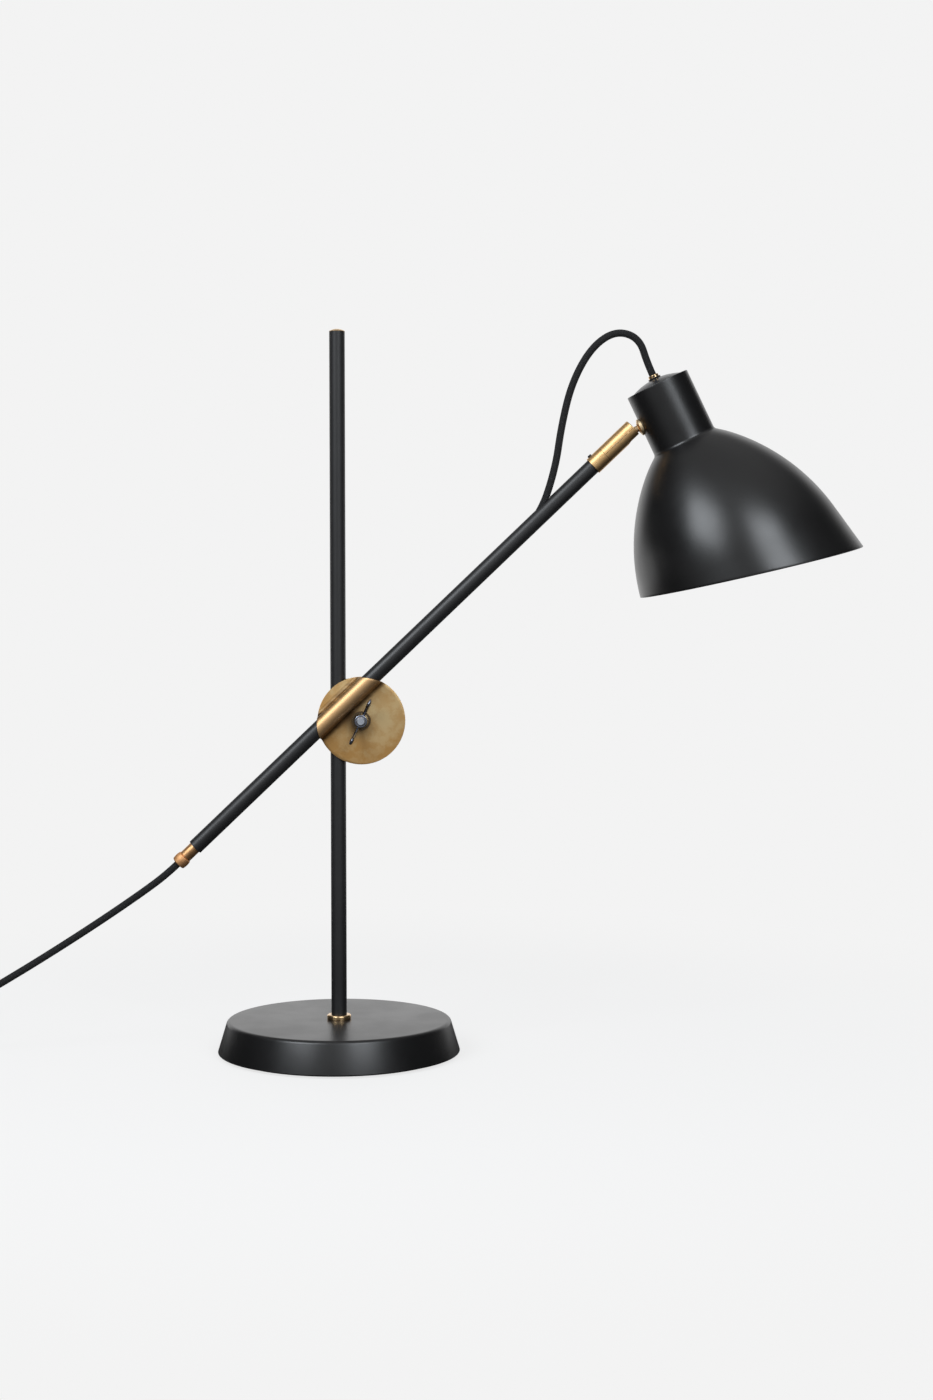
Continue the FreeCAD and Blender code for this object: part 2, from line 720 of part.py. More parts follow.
def make_stem():
    """The ball stud, with the saddle ring outside the neck, and the washer and nut inside."""
    neck_wall = "(stem_reach + shade_wall)"
    washer_top = f"({neck_wall} + neck_washer_thick)"
    tip = f"({washer_top} + neck_nut_height + stem_dia / 8)"
    ball = "ball_dia / 2"
    turned("ball_stud", [
        ("0", f"-{ball}"),
        (ball, "0", ball, "left"),
        ("stem_dia / 2", f"sqrt(({ball}) ^ 2 - (stem_dia / 2) ^ 2)", ball, "left"),
        ("stem_dia / 2", f"{tip} - stem_dia / 8"),
        ("stem_dia * 3 / 8", tip),
        ("0", tip),
    ], stem_place)

    bore = "(stem_dia / 2 + fit_play)"
    neck_axis = "stem_reach + neck_dia / 2"
    saddle = new_body("neck_ring", stem_place)
    turn(saddle, [
        (bore, "saddle_reach"), ("saddle_dia / 2", "saddle_reach"),
        ("saddle_dia / 2", "stem_reach + saddle_depth"), (bore, "stem_reach + saddle_depth"),
    ])
    cut(saddle, ring(new_sketch(saddle, "YZ_Plane"), "0", neck_axis, "neck_dia / 2 + fit_play"),
        "saddle_dia * 2", middle=True)

    inside = "(neck_dia / 2 - shade_wall - fit_play)"
    washer = new_body("neck_washer", stem_place)
    turn(washer, [
        (bore, "stem_reach"), ("neck_nut_across * 0.7", "stem_reach"),
        ("neck_nut_across * 0.7", washer_top), (bore, washer_top),
    ])
    around = ring(new_sketch(washer, "YZ_Plane"), "0", neck_axis, "neck_dia")
    ring(around, "0", neck_axis, inside)
    cut(washer, around, "neck_dia", middle=True)

    nut = new_body("neck_nut", stem_place)
    section = hexagon(new_sketch(nut, "XY_Plane", washer_top), "neck_nut_across")
    ring(section, "0", "0", bore)
    pad(nut, section, "neck_nut_height")


# ---- shade ----


def bell(offset):
    """The bell's half section at a distance inside the outer surface: from the neck's top down past the rim.

    Each arc begins where and as steep as the one before it ends: out of the neck, two swelling arcs,
    and a straight flare.
    """
    slopes = [f"({name} * 1 deg)" for name in ("shoulder_slope", "side_slope", "flare_slope")]
    first, second, last = slopes
    fillet_across = f"(neck_dia / 2 + neck_fillet - (neck_fillet + {offset}) * cos{first})"
    fillet_down = f"(neck_length + (neck_fillet + {offset}) * sin{first})"
    shoulder = f"(shoulder_radius - {offset})"
    side = f"(side_radius - {offset})"
    shoulder_across = f"({fillet_across} + {shoulder} * (cos{second} - cos{first}))"
    shoulder_down = f"({fillet_down} - {shoulder} * (sin{second} - sin{first}))"
    side_across = f"({shoulder_across} + {side} * (cos{last} - cos{second}))"
    side_down = f"({shoulder_down} - {side} * (sin{last} - sin{second}))"
    flare = "shade_depth"
    return [
        (f"neck_dia / 2 - {offset}", "0"),
        (f"neck_dia / 2 - {offset}", "-neck_length"),
        (fillet_across, f"-{fillet_down}", f"neck_fillet + {offset}", "left"),
        (shoulder_across, f"-{shoulder_down}", shoulder, "right"),
        (side_across, f"-{side_down}", side, "right"),
        (f"{side_across} + {flare} * tan{last}", f"-{side_down} - {flare}"),
    ]


def make_shade():
    body = new_body("shade", shade_place)
    outside = bell("0")
    inside = bell("shade_wall")
    back = []
    for number in range(len(inside) - 1, -1, -1):
        across, down = inside[number][:2]
        arc = inside[number + 1][2:] if number + 1 < len(inside) else ()
        if arc:
            arc = (arc[0], "left" if arc[1] == "right" else "right")
        back.append((across, down) + tuple(arc))
    turn(body, outside + back)
    reach = "(shade_depth * 2)"
    slant = "tan(rim_slant * 1 deg)"
    below = draw(new_sketch(body, "XZ_Plane"), [
        (f"-{reach}", f"-shade_depth + {reach} * {slant}"),
        (f"-{reach}", f"-shade_depth - {reach}"),
        (reach, f"-shade_depth - {reach}"),
        (reach, f"-shade_depth - {reach} * {slant}"),
    ])
    cut(body, below, f"{reach} * 2", middle=True)
    cut(body, ring(new_sketch(body, "YZ_Plane"), "0", "-stem_drop", "stem_dia / 2 + bolt_play"), "neck_dia")


def make_neck_cap():
    """The domed cap in the neck's top, with the threaded tube and the small grip that hold the cord."""
    plug = "(neck_dia / 2 - shade_wall - fit_play)"
    dome = "(cap_dome_dia / 2)"
    seat = "(lock_nut_across * 0.6)"
    hole = "(nipple_dia / 2 + fit_play)"
    sagitta = f"((cap_dome_radius ^ 2 - {seat} ^ 2) ^ 0.5 - (cap_dome_radius ^ 2 - {dome} ^ 2) ^ 0.5)"
    ledge = f"(cap_rise - {sagitta})"
    under = "cap_wall"
    turned("neck_cap", [
        (hole, f"cap_rise - {under}"),
        (seat, f"cap_rise - {under}"),
        (dome, f"{ledge} - {under}", "cap_dome_radius", "right"),
        (f"{plug} - {under}", f"{ledge} - {under}"),
        (f"{plug} - {under}", "-cap_skirt"),
        (plug, "-cap_skirt"),
        (plug, ledge),
        (dome, ledge),
        (seat, "cap_rise", "cap_dome_radius", "left"),
        (hole, "cap_rise"),
    ], shade_place)

    grip_foot = "(cap_rise + cap_nut_height)"
    bottom = "(-holder_top - holder_wall * 3)"
    turned("cord_nipple", [
        (CORD_BORE, bottom), ("nipple_dia / 2", bottom),
        ("nipple_dia / 2", grip_foot), (CORD_BORE, grip_foot),
    ], shade_place)
    for label, level, height in (("cap_nut", "cap_rise", "cap_nut_height"),
                                 ("lock_nut", "(cap_rise - cap_wall - lock_nut_height)", "lock_nut_height")):
        nut = new_body(label, shade_place)
        section = hexagon(new_sketch(nut, "XY_Plane", level), "lock_nut_across")
        ring(section, "0", "0", hole)
        pad(nut, section, height)

    turned("cord_grip", [
        (CORD_BORE, grip_foot),
        ("grip_dia / 2", grip_foot),
        ("grip_dia / 2", f"{grip_foot} + grip_height * 0.8"),
        ("grip_dia / 2 - grip_height * 0.2", f"{grip_foot} + grip_height", "grip_height * 0.2", "left"),
        (CORD_BORE, f"{grip_foot} + grip_height"),
    ], shade_place)
    screws = []
    for name, side in (("near", -1), ("far", 1)):
        way = shade_place.multiply(Placement(
            Vector(0, side * value("grip_dia / 2"), value(f"{grip_foot} + grip_height / 2")),
            Rotation(Vector(1, 0, 0), -90 * side)))
        screws.append(turned(f"grip_screw_{name}", [
            ("0", "fit_play"), ("ear_dia / 2", "fit_play"),
            ("ear_dia / 2", "(ear_span - grip_dia) / 2"), ("0", "(ear_span - grip_dia) / 2"),
        ], way))
    group("grip_screws", screws)


def make_lampholder():
    hole = "(nipple_dia / 2 + fit_play)"
    top = "(-holder_top)"
    split = f"({top} - holder_cap_height)"
    neck = "(nipple_dia / 2 + holder_wall)"
    inner = "(holder_dia / 2 - holder_wall)"
    dome = "(holder_cap_height * 2 / 3)"
    turned("holder_cap", [
        (hole, f"{top} - holder_wall * 2"),
        (f"{neck} + holder_wall / 2", f"{top} - holder_wall * 2"),
        (inner, f"{top} - holder_wall - {dome}"),
        (inner, split),
        ("holder_dia / 2", split),
        ("holder_dia / 2", f"{top} - {dome}"),
        (neck, top),
        (hole, top),
    ], shade_place)
    floor = f"({split} - holder_floor)"
    foot = f"({split} - holder_body_height)"
    turned("holder_body", [
        ("0", split), ("0", floor), (inner, floor), (inner, foot),
        ("holder_dia / 2", foot), ("holder_dia / 2", split),
    ], shade_place)
    shell_bore = "(bulb_cap_dia / 2 + bulb_play)"
    shell = f"({shell_bore} + screw_shell_wall)"
    turned("screw_shell", [
        (shell_bore, floor), (shell_bore, f"{foot} + holder_floor"),
        (shell, f"{foot} + holder_floor"), (shell, f"{floor} - holder_wall"),
        (inner, f"{floor} - holder_wall"), (inner, floor),
    ], shade_place)
    turned("centre_contact", [
        ("0", floor), ("0", f"{floor} - contact_height"),
        ("contact_dia / 2", f"{floor} - contact_height"), ("contact_dia / 2", floor),
    ], shade_place)


def make_bulb():
    """A pear-shaped bulb in its screw cap; its tip meets the lampholder's contact."""
    tip = "(-holder_top - holder_cap_height - holder_floor - contact_height)"
    cap_foot = f"({tip} - bulb_cap_length)"
    cap = "bulb_cap_dia / 2"
    turned("bulb_cap", [
        ("0", tip),
        ("0", f"{tip} - bulb_wall * 3"),
        (f"{cap} - bulb_wall", f"{tip} - bulb_wall * 5"),
        (f"{cap} - bulb_wall", cap_foot),
        (cap, cap_foot),
        (cap, f"{tip} - bulb_wall * 4"),
        ("contact_dia / 2", f"{tip} - bulb_wall"),
        ("contact_dia / 2", tip),
    ], shade_place)
    ball = "bulb_dia / 2"
    neck = "(bulb_cap_dia / 2 - bulb_wall - fit_play)"
    bottom = f"({tip} - bulb_length)"
    middle = f"({bottom} + {ball})"
    flank = "(bulb_dia * 2 / 3)"
    start = f"({cap_foot} + bulb_wall * 2)"
    reach = f"(({ball} + {flank}) ^ 2 - ({neck} + {flank}) ^ 2) ^ 0.5"
    share = f"(({ball}) / ({ball} + {flank}))"
    inner_share = f"(({ball} - bulb_wall) / ({ball} + {flank}))"
    turned("bulb_glass", [
        ("0", bottom),
        (ball, middle, ball, "left"),
        (f"({neck} + {flank}) * {share}", f"{middle} + {reach} * {share}", ball, "left"),
        (neck, f"{middle} + {reach}", flank, "right"),
        (neck, start),
        (f"{neck} - bulb_wall", start),
        (f"{neck} - bulb_wall", f"{middle} + {reach}"),
        (f"({neck} + {flank}) * {inner_share}", f"{middle} + {reach} * {inner_share}",
         f"{flank} + bulb_wall", "left"),
        (f"{ball} - bulb_wall", middle, f"{ball} - bulb_wall", "right"),
        ("0", f"{bottom} + bulb_wall", f"{ball} - bulb_wall", "right"),
    ], shade_place)


# ---- switch and plug on the cord ----

# The switch and the coil lie on the table beyond the cord's hanging stretch.
SWITCH_PLACE = Placement(Vector(-455, 81, 0), Rotation())
COIL_ALONG = 170.0


def rounded_box(sketch, length, width, corner):
    """Draws a rectangle with rounded corners about the origin, its length upright in the sketch."""
    wide, high = f"({width}) / 2", f"({length}) / 2"
    inner_wide, inner_high = f"({wide} - {corner})", f"({high} - {corner})"
    return draw(sketch, [
        (wide, f"-{inner_high}", corner, "left"),
        (wide, inner_high),
        (inner_wide, high, corner, "left"),
        (f"-{inner_wide}", high),
        (f"-{wide}", inner_high, corner, "left"),
        (f"-{wide}", f"-{inner_high}"),
        (f"-{inner_wide}", f"-{high}", corner, "left"),
        (inner_wide, f"-{high}"),
    ])


def switch_half(label, floor, split, upward):
    """One half of the switch's housing: a tray with two screw posts and half of each cord hole."""
    body = new_body(label, SWITCH_PLACE)
    depth = "switch_height / 2"
    corner = "switch_width / 3"
    shell = pad(body, rounded_box(new_sketch(body, "XY_Plane", floor), "switch_length", "switch_width", corner),
                depth, backward=not upward)
    rounded(body, shell, edges_at(shell, value(floor)), "switch_wall * 0.9")
    room = rounded_box(new_sketch(body, "XY_Plane", split), "switch_length - 2 * switch_wall",
                       "switch_width - 2 * switch_wall", f"({corner} - switch_wall)")
    cut(body, room, f"({depth}) - switch_wall", backward=not upward)
    posts = new_sketch(body, "XY_Plane", split)
    for side in ("", "-"):
        ring(posts, f"{side}switch_post_across", f"{side}switch_post_along", "switch_screw_dia")
    pad(body, posts, f"({depth}) - switch_wall / 2", backward=upward)
    cord_way = ring(new_sketch(body, "XZ_Plane"), "0", depth, CORD_BORE)
    cut(body, cord_way, "switch_length * 2", middle=True)
    return body


def make_switch():
    base = switch_half("switch_base", "0", "switch_height / 2", True)
    cover = switch_half("switch_cover", "switch_height", "switch_height / 2", False)
    for body, bore, depth, start, back in (
            (base, "switch_screw_dia / 2 + fit_play", "switch_height", "0", True),
            (base, "switch_screw_dia + fit_play", "switch_screw_head + fit_play", "0", True),
            (cover, "switch_screw_dia / 2 + fit_play", "switch_height / 2 - switch_wall * 1.5",
             "switch_height / 2", True)):
        holes = new_sketch(body, "XY_Plane", start)
        for side in ("", "-"):
            ring(holes, f"{side}switch_post_across", f"{side}switch_post_along", bore)
        cut(body, holes, depth, backward=back)
    opening = new_sketch(cover, "XY_Plane", "switch_height")
    rounded_box(opening, "rocker_length + 2 * rocker_play", "rocker_width + 2 * rocker_play", "rocker_play * 2")
    cut(cover, opening, "switch_wall * 2")

    screws = []
    tip = "(switch_height - switch_wall * 2.5)"
    for name, side in (("near", -1), ("far", 1)):
        spot = SWITCH_PLACE.multiply(Placement(
            Vector(side * value("switch_post_across"), side * value("switch_post_along"), 0), Rotation()))
        screws.append(turned(f"switch_screw_{name}", [
            ("0", "fit_play"), ("switch_screw_dia", "fit_play"), ("switch_screw_dia", "switch_screw_head"),
            ("switch_screw_dia / 2", "switch_screw_head"), ("switch_screw_dia / 2", tip), ("0", tip),
        ], spot))
    group("switch_screws", screws)

    # The rocker turns on its own pin, whose ends rest on the two cheeks of the switch's inner block.
    pivot = "(switch_height - switch_wall - rocker_pin_dia / 2 - rocker_play)"
    rocker_place = SWITCH_PLACE.multiply(
        Placement(Vector(0, 0, value(pivot)), Rotation(Vector(1, 0, 0), value("rocker_tilt"))))
    rocker = new_body("switch_rocker", rocker_place)
    top = "(switch_wall + rocker_pin_dia / 2 + rocker_play)"
    half, end = "(rocker_length / 2 - rocker_play)", "(rocker_length / 2 - rocker_play * 2)"
    outline = draw(new_sketch(rocker, "YZ_Plane"), [
        (f"-{half}", top),
        (f"-{half} * 0.7", "-rocker_pin_dia / 2"),
        (f"{half} * 0.7", "-rocker_pin_dia / 2"),
        (half, top),
        (end, f"{top} + rocker_rise"),
        ("0", top, f"{half} * 3", "right"),
        (f"-{end}", f"{top} + rocker_rise", f"{half} * 3", "right"),
    ])
    pad(rocker, outline, "rocker_width", middle=True)
    axle = ring(new_sketch(rocker, "YZ_Plane"), "0", "0", "rocker_pin_dia / 2")
    pad(rocker, axle, "rocker_width + rocker_play * 5", middle=True)

    block = new_body("switch_block", SWITCH_PLACE)
    cheek = "(rocker_width / 2 + rocker_play)"
    high = f"({pivot} + rocker_pin_dia * 0.3)"
    for side in ("", "-"):
        wall = draw(new_sketch(block, "XZ_Plane"), [
            (f"{side}{cheek}", "switch_wall"),
            (f"{side}({cheek} + switch_wall)", "switch_wall"),
            (f"{side}({cheek} + switch_wall)", high),
            (f"{side}{cheek}", high),
        ])
        pad(block, wall, "rocker_length / 2", middle=True)
    bridge = draw(new_sketch(block, "XZ_Plane"), [
        (f"-{cheek}", "switch_wall"), (cheek, "switch_wall"), (cheek, "switch_wall * 2"),
        (f"-{cheek}", "switch_wall * 2"),
    ])
    pad(block, bridge, "rocker_length / 2", middle=True)
    bearing = ring(new_sketch(block, "YZ_Plane"), "0", pivot, "rocker_pin_dia / 2 + swivel_play")
    cut(block, bearing, "switch_width", middle=True)

    reliefs = []
    for name, side in (("in", -1), ("out", 1)):
        spot = SWITCH_PLACE.multiply(Placement(
            Vector(0, side * value("switch_length / 2"), value("switch_height / 2")),
            Rotation(Vector(1, 0, 0), -90 * side)))
        reliefs.append(relief(f"switch_relief_{name}", "relief_short", spot))
    group("switch_reliefs", reliefs)


def relief(label, length, place):
    """A ribbed sleeve that narrows away from its housing, round the cord."""
    wide, narrow = "(relief_dia / 2)", "(cord_dia / 2 + relief_wall)"
    grooves = 4
    outline = [(CORD_BORE, length), (CORD_BORE, "0"), (wide, "0")]
    for number in range(grooves):
        low = f"({length} * {number + 0.55} / {grooves})"
        high = f"({length} * {number + 0.75} / {grooves})"
        here = f"({wide} - ({wide} - {narrow}) * {number + 0.5} / {grooves})"
        outline += [(here, low), (f"{here} - relief_wall / 2", low), (f"{here} - relief_wall / 2", high),
                    (here, high)]
    outline.append((narrow, length))
    return turned(label, outline, place)


def make_plug(place):
    """A flat two-pin plug. Its own Y runs from the cord to the pins."""
    body = new_body("plug_body", place)
    half, tail = "plug_width / 2", "plug_tail_width / 2"
    outline = draw(new_sketch(body, "XY_Plane", "-plug_thick / 2"), [
        (tail, "0"),
        (half, "plug_length * 0.55", "plug_length * 0.8", "right"),
        (half, "plug_length"),
        (f"-{half}", "plug_length"),
        (f"-{half}", "plug_length * 0.55"),
        (f"-{tail}", "0", "plug_length * 0.8", "right"),
    ])
    block = pad(body, outline, "plug_thick")
    rounded(body, block, edges_at(block, value("-plug_thick / 2")) + edges_at(block, value("plug_thick / 2")),
            "plug_round")
    pins = new_sketch(body, "XZ_Plane")
    for side in ("", "-"):
        ring(pins, f"{side}pin_spacing / 2", "0", "pin_dia / 2 + fit_play")
    bind(pins, "AttachmentOffset.Base.z", "-plug_length")
    cut(body, pins, "pin_seat + fit_play", backward=True)
    cut(body, ring(new_sketch(body, "XZ_Plane"), "0", "0", CORD_BORE), "pin_seat * 2", middle=True)

    members = []
    for name, side in (("left", -1), ("right", 1)):
        spot = place.multiply(Placement(
            Vector(side * value("pin_spacing / 2"), value("plug_length - pin_seat"), 0),
            Rotation(Vector(1, 0, 0), -90)))
        end = "pin_seat + pin_length"
        members.append(turned(f"plug_pin_{name}", [
            ("0", "0"), ("pin_dia / 2", "0"), ("pin_dia / 2", f"{end} - pin_dia / 4"),
            ("pin_dia / 4", end, "pin_dia / 4", "left"), ("0", end),
        ], spot))
    group("plug_pins", members)
    relief("plug_relief", "relief_long", place.multiply(Placement(Vector(), Rotation(Vector(1, 0, 0), 90))))


# ---- cord ----


ARC_SHARE = 0.45    # of the shorter run beside a corner, which the corner's arc takes


def path_edges(points, begin=0.0, finish=0.0):
    """Straight runs joined by tangent arcs, each arc as large as its two runs allow.

    Args:
        points: The route's points.
        begin: The share of the first run that is left out.
        finish: The share of the last run that is left out.
    """
    radii = []
    start = points[0] + (points[1] - points[0]) * begin
    stop = points[-1] + (points[-2] - points[-1]) * finish
    edges = []
    here = start
    for before, corner, after in zip(points, points[1:], points[2:]):
        arrive, leave = corner - before, after - corner
        bend = arrive.getAngle(leave)
        reach = ARC_SHARE * min(arrive.Length, leave.Length)
        radius = reach / math.tan(bend / 2)
        radii.append(radius)
        touch = corner - Vector(arrive).normalize() * reach
        release = corner + Vector(leave).normalize() * reach
        inward = (Vector(leave).normalize() - Vector(arrive).normalize()).normalize()
        middle = corner + inward * (radius / math.cos(bend / 2) - radius)
        edges.append(Part.LineSegment(here, touch).toShape())
        edges.append(Part.Arc(touch, middle, release).toShape())
        here = release
    edges.append(Part.LineSegment(here, stop).toShape())
    return edges, radii


def tube_solid(edges, diameter):
    """A round tube swept along joined edges."""
    path = Part.Wire(edges)
    first = edges[0]
    heading = first.tangentAt(first.FirstParameter)
    ring_wire = Part.Wire([Part.makeCircle(diameter / 2, first.valueAt(first.FirstParameter), heading)])
    solid = path.makePipeShell([ring_wire], True, False)
    share = solid.Volume / (math.pi * diameter ** 2 / 4 * path.Length)
    if not 0.99 < share < 1.01:
        raise ValueError(f"a cord's volume is {share:.3f} of its section times its length")
    return solid, path.Length


def keep(label, shape):
    """Puts a finished shape into the document."""
    feature = doc.addObject("Part::Feature", label)
    feature.Label = label
    feature.Shape = shape
    return feature


def cord(label, points, begin=0.0, finish=0.0):
    """One stretch of the cord along its own part of a route."""
    edges, radii = path_edges(points, begin, finish)
    solid, length = tube_solid(edges, value("cord_dia"))
    keep(label, solid)
    print(f"{label}: length {length:.1f}, radii {[round(radius, 1) for radius in radii]}")
    return length


def arc_from(start, heading, end):
    """The arc that leaves start along heading and ends at end."""
    chord = end - start
    bend = heading.getAngle(chord)
    way = (Vector(heading).normalize() + Vector(chord).normalize()).normalize()
    return Part.Arc(start, start + way * (chord.Length / 2 / math.cos(bend / 2)), end).toShape()


def biarc(start, heading, end, arrival):
    """Two arcs that join smoothly, from start along heading to end along arrival."""
    span = end - start
    both = heading + arrival
    level = 2 * (heading.dot(arrival) - 1)
    slope = -2 * span.dot(both)
    if abs(level) < TOUCH:
        reach = span.dot(span) / -slope
    else:
        reach = abs(-slope - math.sqrt(slope * slope - 4 * level * span.dot(span))) / abs(2 * level)
    middle = (start + heading * reach + end - arrival * reach) * 0.5
    second = arc_from(end, arrival * -1, middle)
    return [arc_from(start, heading, middle), Part.Edge(second.Curve.copy(), second.FirstParameter,
                                                        second.LastParameter)]


class Coil:
    """The spare cord, wound clockwise: in on the lower layer, up in the half turn at the middle, and out again."""

    EASE = 0.25     # part of a turn over which the spiral reverses, on each side

    def __init__(self, start_across, centre_along):
        self.turns = value("coil_turns")
        self.inner = value("coil_inner")
        self.pitch = value("coil_pitch")
        self.cord = value("cord_dia")
        self.centre = Vector(start_across + self.radius(self.turns), centre_along, 0)

    def radius(self, away):
        """The turn's radius, a number of turns away from the middle of the winding."""
        spread = away * away / (2 * self.EASE) if away < self.EASE else away - self.EASE / 2
        return self.inner + self.pitch * spread

    def point(self, wound):
        """The place on the cord after a number of turns."""
        away = abs(wound - self.turns)
        angle = math.pi - 2 * math.pi * wound
        climb = min(max((wound - self.turns) * 2 + 0.5, 0.0), 1.0)
        height = self.cord / 2 + self.pitch * climb * climb * (3 - 2 * climb)
        return self.centre + Vector(math.cos(angle), math.sin(angle), 0) * self.radius(away) + Vector(0, 0, height)

    def heading(self, wound):
        step = 1e-4
        total = 2 * self.turns
        low, high = max(wound - step, 0.0), min(wound + step, total)
        return (self.point(high) - self.point(low)).normalize()

    def ends(self):
        """The first and last points with the straight diameter at each end, and the headings there."""
        total = 2 * self.turns
        first, last = self.heading(0), self.heading(total)
        return self.point(0) - first * self.cord, first, self.point(total) + last * self.cord, last

    def edges(self):
        steps = round(self.turns * 2 * 4)
        start, first, finish, last = self.ends()
        found = [Part.LineSegment(start, self.point(0)).toShape()]
        for number in range(steps):
            here, there = number / 4, (number + 1) / 4
            found += biarc(self.point(here), self.heading(here), self.point(there), self.heading(there))
        found.append(Part.LineSegment(self.point(2 * self.turns), finish).toShape())
        return found

    def least_gap(self):
        """The least distance between the surfaces of turns that are at least a third of a turn apart."""
        steps = 96
        count = round(2 * self.turns * steps)
        spots = [self.point(number / steps) for number in range(count + 1)]
        near = min((spots[a] - spots[b]).Length for a in range(0, count, 2) for b in range(a + steps // 3, count + 1))
        return near - self.cord


# The cord from the arm's lower end down to the switch on the table.
HANGING = [
    (-143.87, -14.3, 175.07), (-153.3, -14.3, 166.1), (-171.8, -14.3, 151.9), (-208.5, -14.3, 126.6),
    (-252.0, -14.3, 98.3), (-297.0, -14.3, 70.5), (-343.5, -14.5, 43.4), (-377.0, -14.8, 24.6),
    (-406.9, -14.0, 11.5), (-429.0, -5.9, 5.2), (-445.9, 11.0, 5.0), (-455.0, 32.8, 8.5), (-455.0, 50.0, 8.5),
]
# The loop from the arm's slot over to the neck's cap.
LOOP = [
    (162.0, -14.3, 467.6), (180.4, -14.3, 485.2), (194.9, -14.3, 527.9), (200.7, -14.3, 568.7),
    (209.8, -14.3, 605.8), (227.0, -14.3, 636.8), (248.5, -14.3, 651.5), (269.5, -14.3, 645.0),
    (277.2, -14.3, 621.2), (283.3, -14.3, 608.6),
]
LEAD_RUNS = (16.0, 12.0)            # straight out of the switch, and straight into the coil
TAIL_RUNS = (8.0, 17.0, 32.0)       # out of the coil, down, and into the plug


def fitted(route, start, finish):
    """The route's points, shifted so that it runs from start to finish: each end's shift fades to the other end."""
    points = [Vector(*spot) for spot in route]
    first, last = start - points[0], finish - points[-1]
    steps = len(points) - 1
    return [point + first * (1 - number / steps) + last * (number / steps) for number, point in enumerate(points)]


def make_cords():
    """The cord from the loop at the neck, through the arm and down to the switch, the coil and the plug."""
    half_switch = Vector(0, value("switch_length / 2"), 0)
    switch_middle = SWITCH_PLACE.Base + Vector(0, 0, value("switch_height / 2"))
    arm_end = arm_foot - arm_way * value("arm_tail + ferrule_show + grip_nut_length")
    hanging = fitted(HANGING, arm_end, switch_middle - half_switch)
    total = cord("cord_hang_upper", hanging[:5], finish=0.5)
    total += cord("cord_hang_middle", hanging[3:7], begin=0.5, finish=0.5)
    total += cord("cord_hang_lower", hanging[5:9], begin=0.5, finish=0.5)
    total += cord("cord_floor", hanging[7:], begin=0.5)

    slot_end = arm_foot + arm_way * value("slot_place - cord_bow")
    loop = fitted(LOOP, slot_end, neck_top - shade_down * value("cord_depth"))
    upper = cord("cord_loop_arm", loop[:6], finish=0.5)
    upper += cord("cord_loop_neck", loop[4:], begin=0.5)
    solid, inside = tube_solid([Part.LineSegment(arm_end, slot_end).toShape()], value("cord_dia"))
    keep("cord_in_arm", solid)

    coil = Coil(SWITCH_PLACE.Base.x, COIL_ALONG)
    start, first, finish, last = coil.ends()
    out = switch_middle + half_switch
    outward, inward = LEAD_RUNS
    total += cord("cord_lead", [out, out + LEVEL_Y * outward, start - first * inward, start])
    solid, length = tube_solid(coil.edges(), value("cord_dia"))
    keep("cord_coil", solid)
    print(f"cord_coil: length {length:.1f}, least gap {coil.least_gap():.2f}")
    total += length

    level = Vector(last.x, last.y, 0).normalize()
    lift = Vector(0, 0, value("plug_thick / 2") - finish.z)
    outward, down, inward = TAIL_RUNS
    turns = [finish + level * outward, finish + level * (outward + down) + lift]
    plug_end = turns[-1] + level * inward
    total += cord("cord_tail", [finish] + turns + [plug_end])
    plug_turn = Rotation(Vector(level.y, -level.x, 0), level, Vector(0, 0, 1), "ZXY")
    make_plug(Placement(plug_end, plug_turn))
    print(f"cord below the arm {total:.1f}, in the arm {inside:.1f}, loop {upper:.1f}")


make_base()
make_pole()
make_clamp()
make_wing_nut()
make_arm()
make_knuckle()
make_stem()
make_shade()
make_neck_cap()
make_lampholder()
make_bulb()
make_switch()
make_cords()

# ---- checks and files ----

doc.recompute()
members = {link.Name for item in doc.Objects if item.TypeId == "Part::Compound" for link in item.Links}
for item in doc.Objects:
    if "Invalid" in item.State or "Error" in item.State:
        raise ValueError(f"{item.Label}: {item.State}")
pieces = [item for item in doc.Objects
          if item.TypeId in ("PartDesign::Body", "Part::Feature", "Part::Compound") and item.Name not in members]
os.makedirs("parts", exist_ok=True)
for item in pieces:
    if item.Shape.isNull() or not item.Shape.isValid():
        raise ValueError(f"{item.Label}: no valid shape")
    item.Shape.exportStep(f"parts/{item.Label}.step")
print(f"{len(pieces)} pieces written")
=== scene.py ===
"""Counterweight balance desk lamp: painted, brass and zinc surfaces, its cord, the studio and the camera.

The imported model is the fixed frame. Lengths are in millimetres, and a mesh is scaled to metres when it is
made. The studio and the shaders are in metres.
The lamp stands with its pole on the Z axis, its shade towards +X and its arm in front of the pole, at -Y.
"""

from __future__ import annotations

import json
import logging
import math
from dataclasses import dataclass, field
from enum import Enum
from typing import Any, Sequence

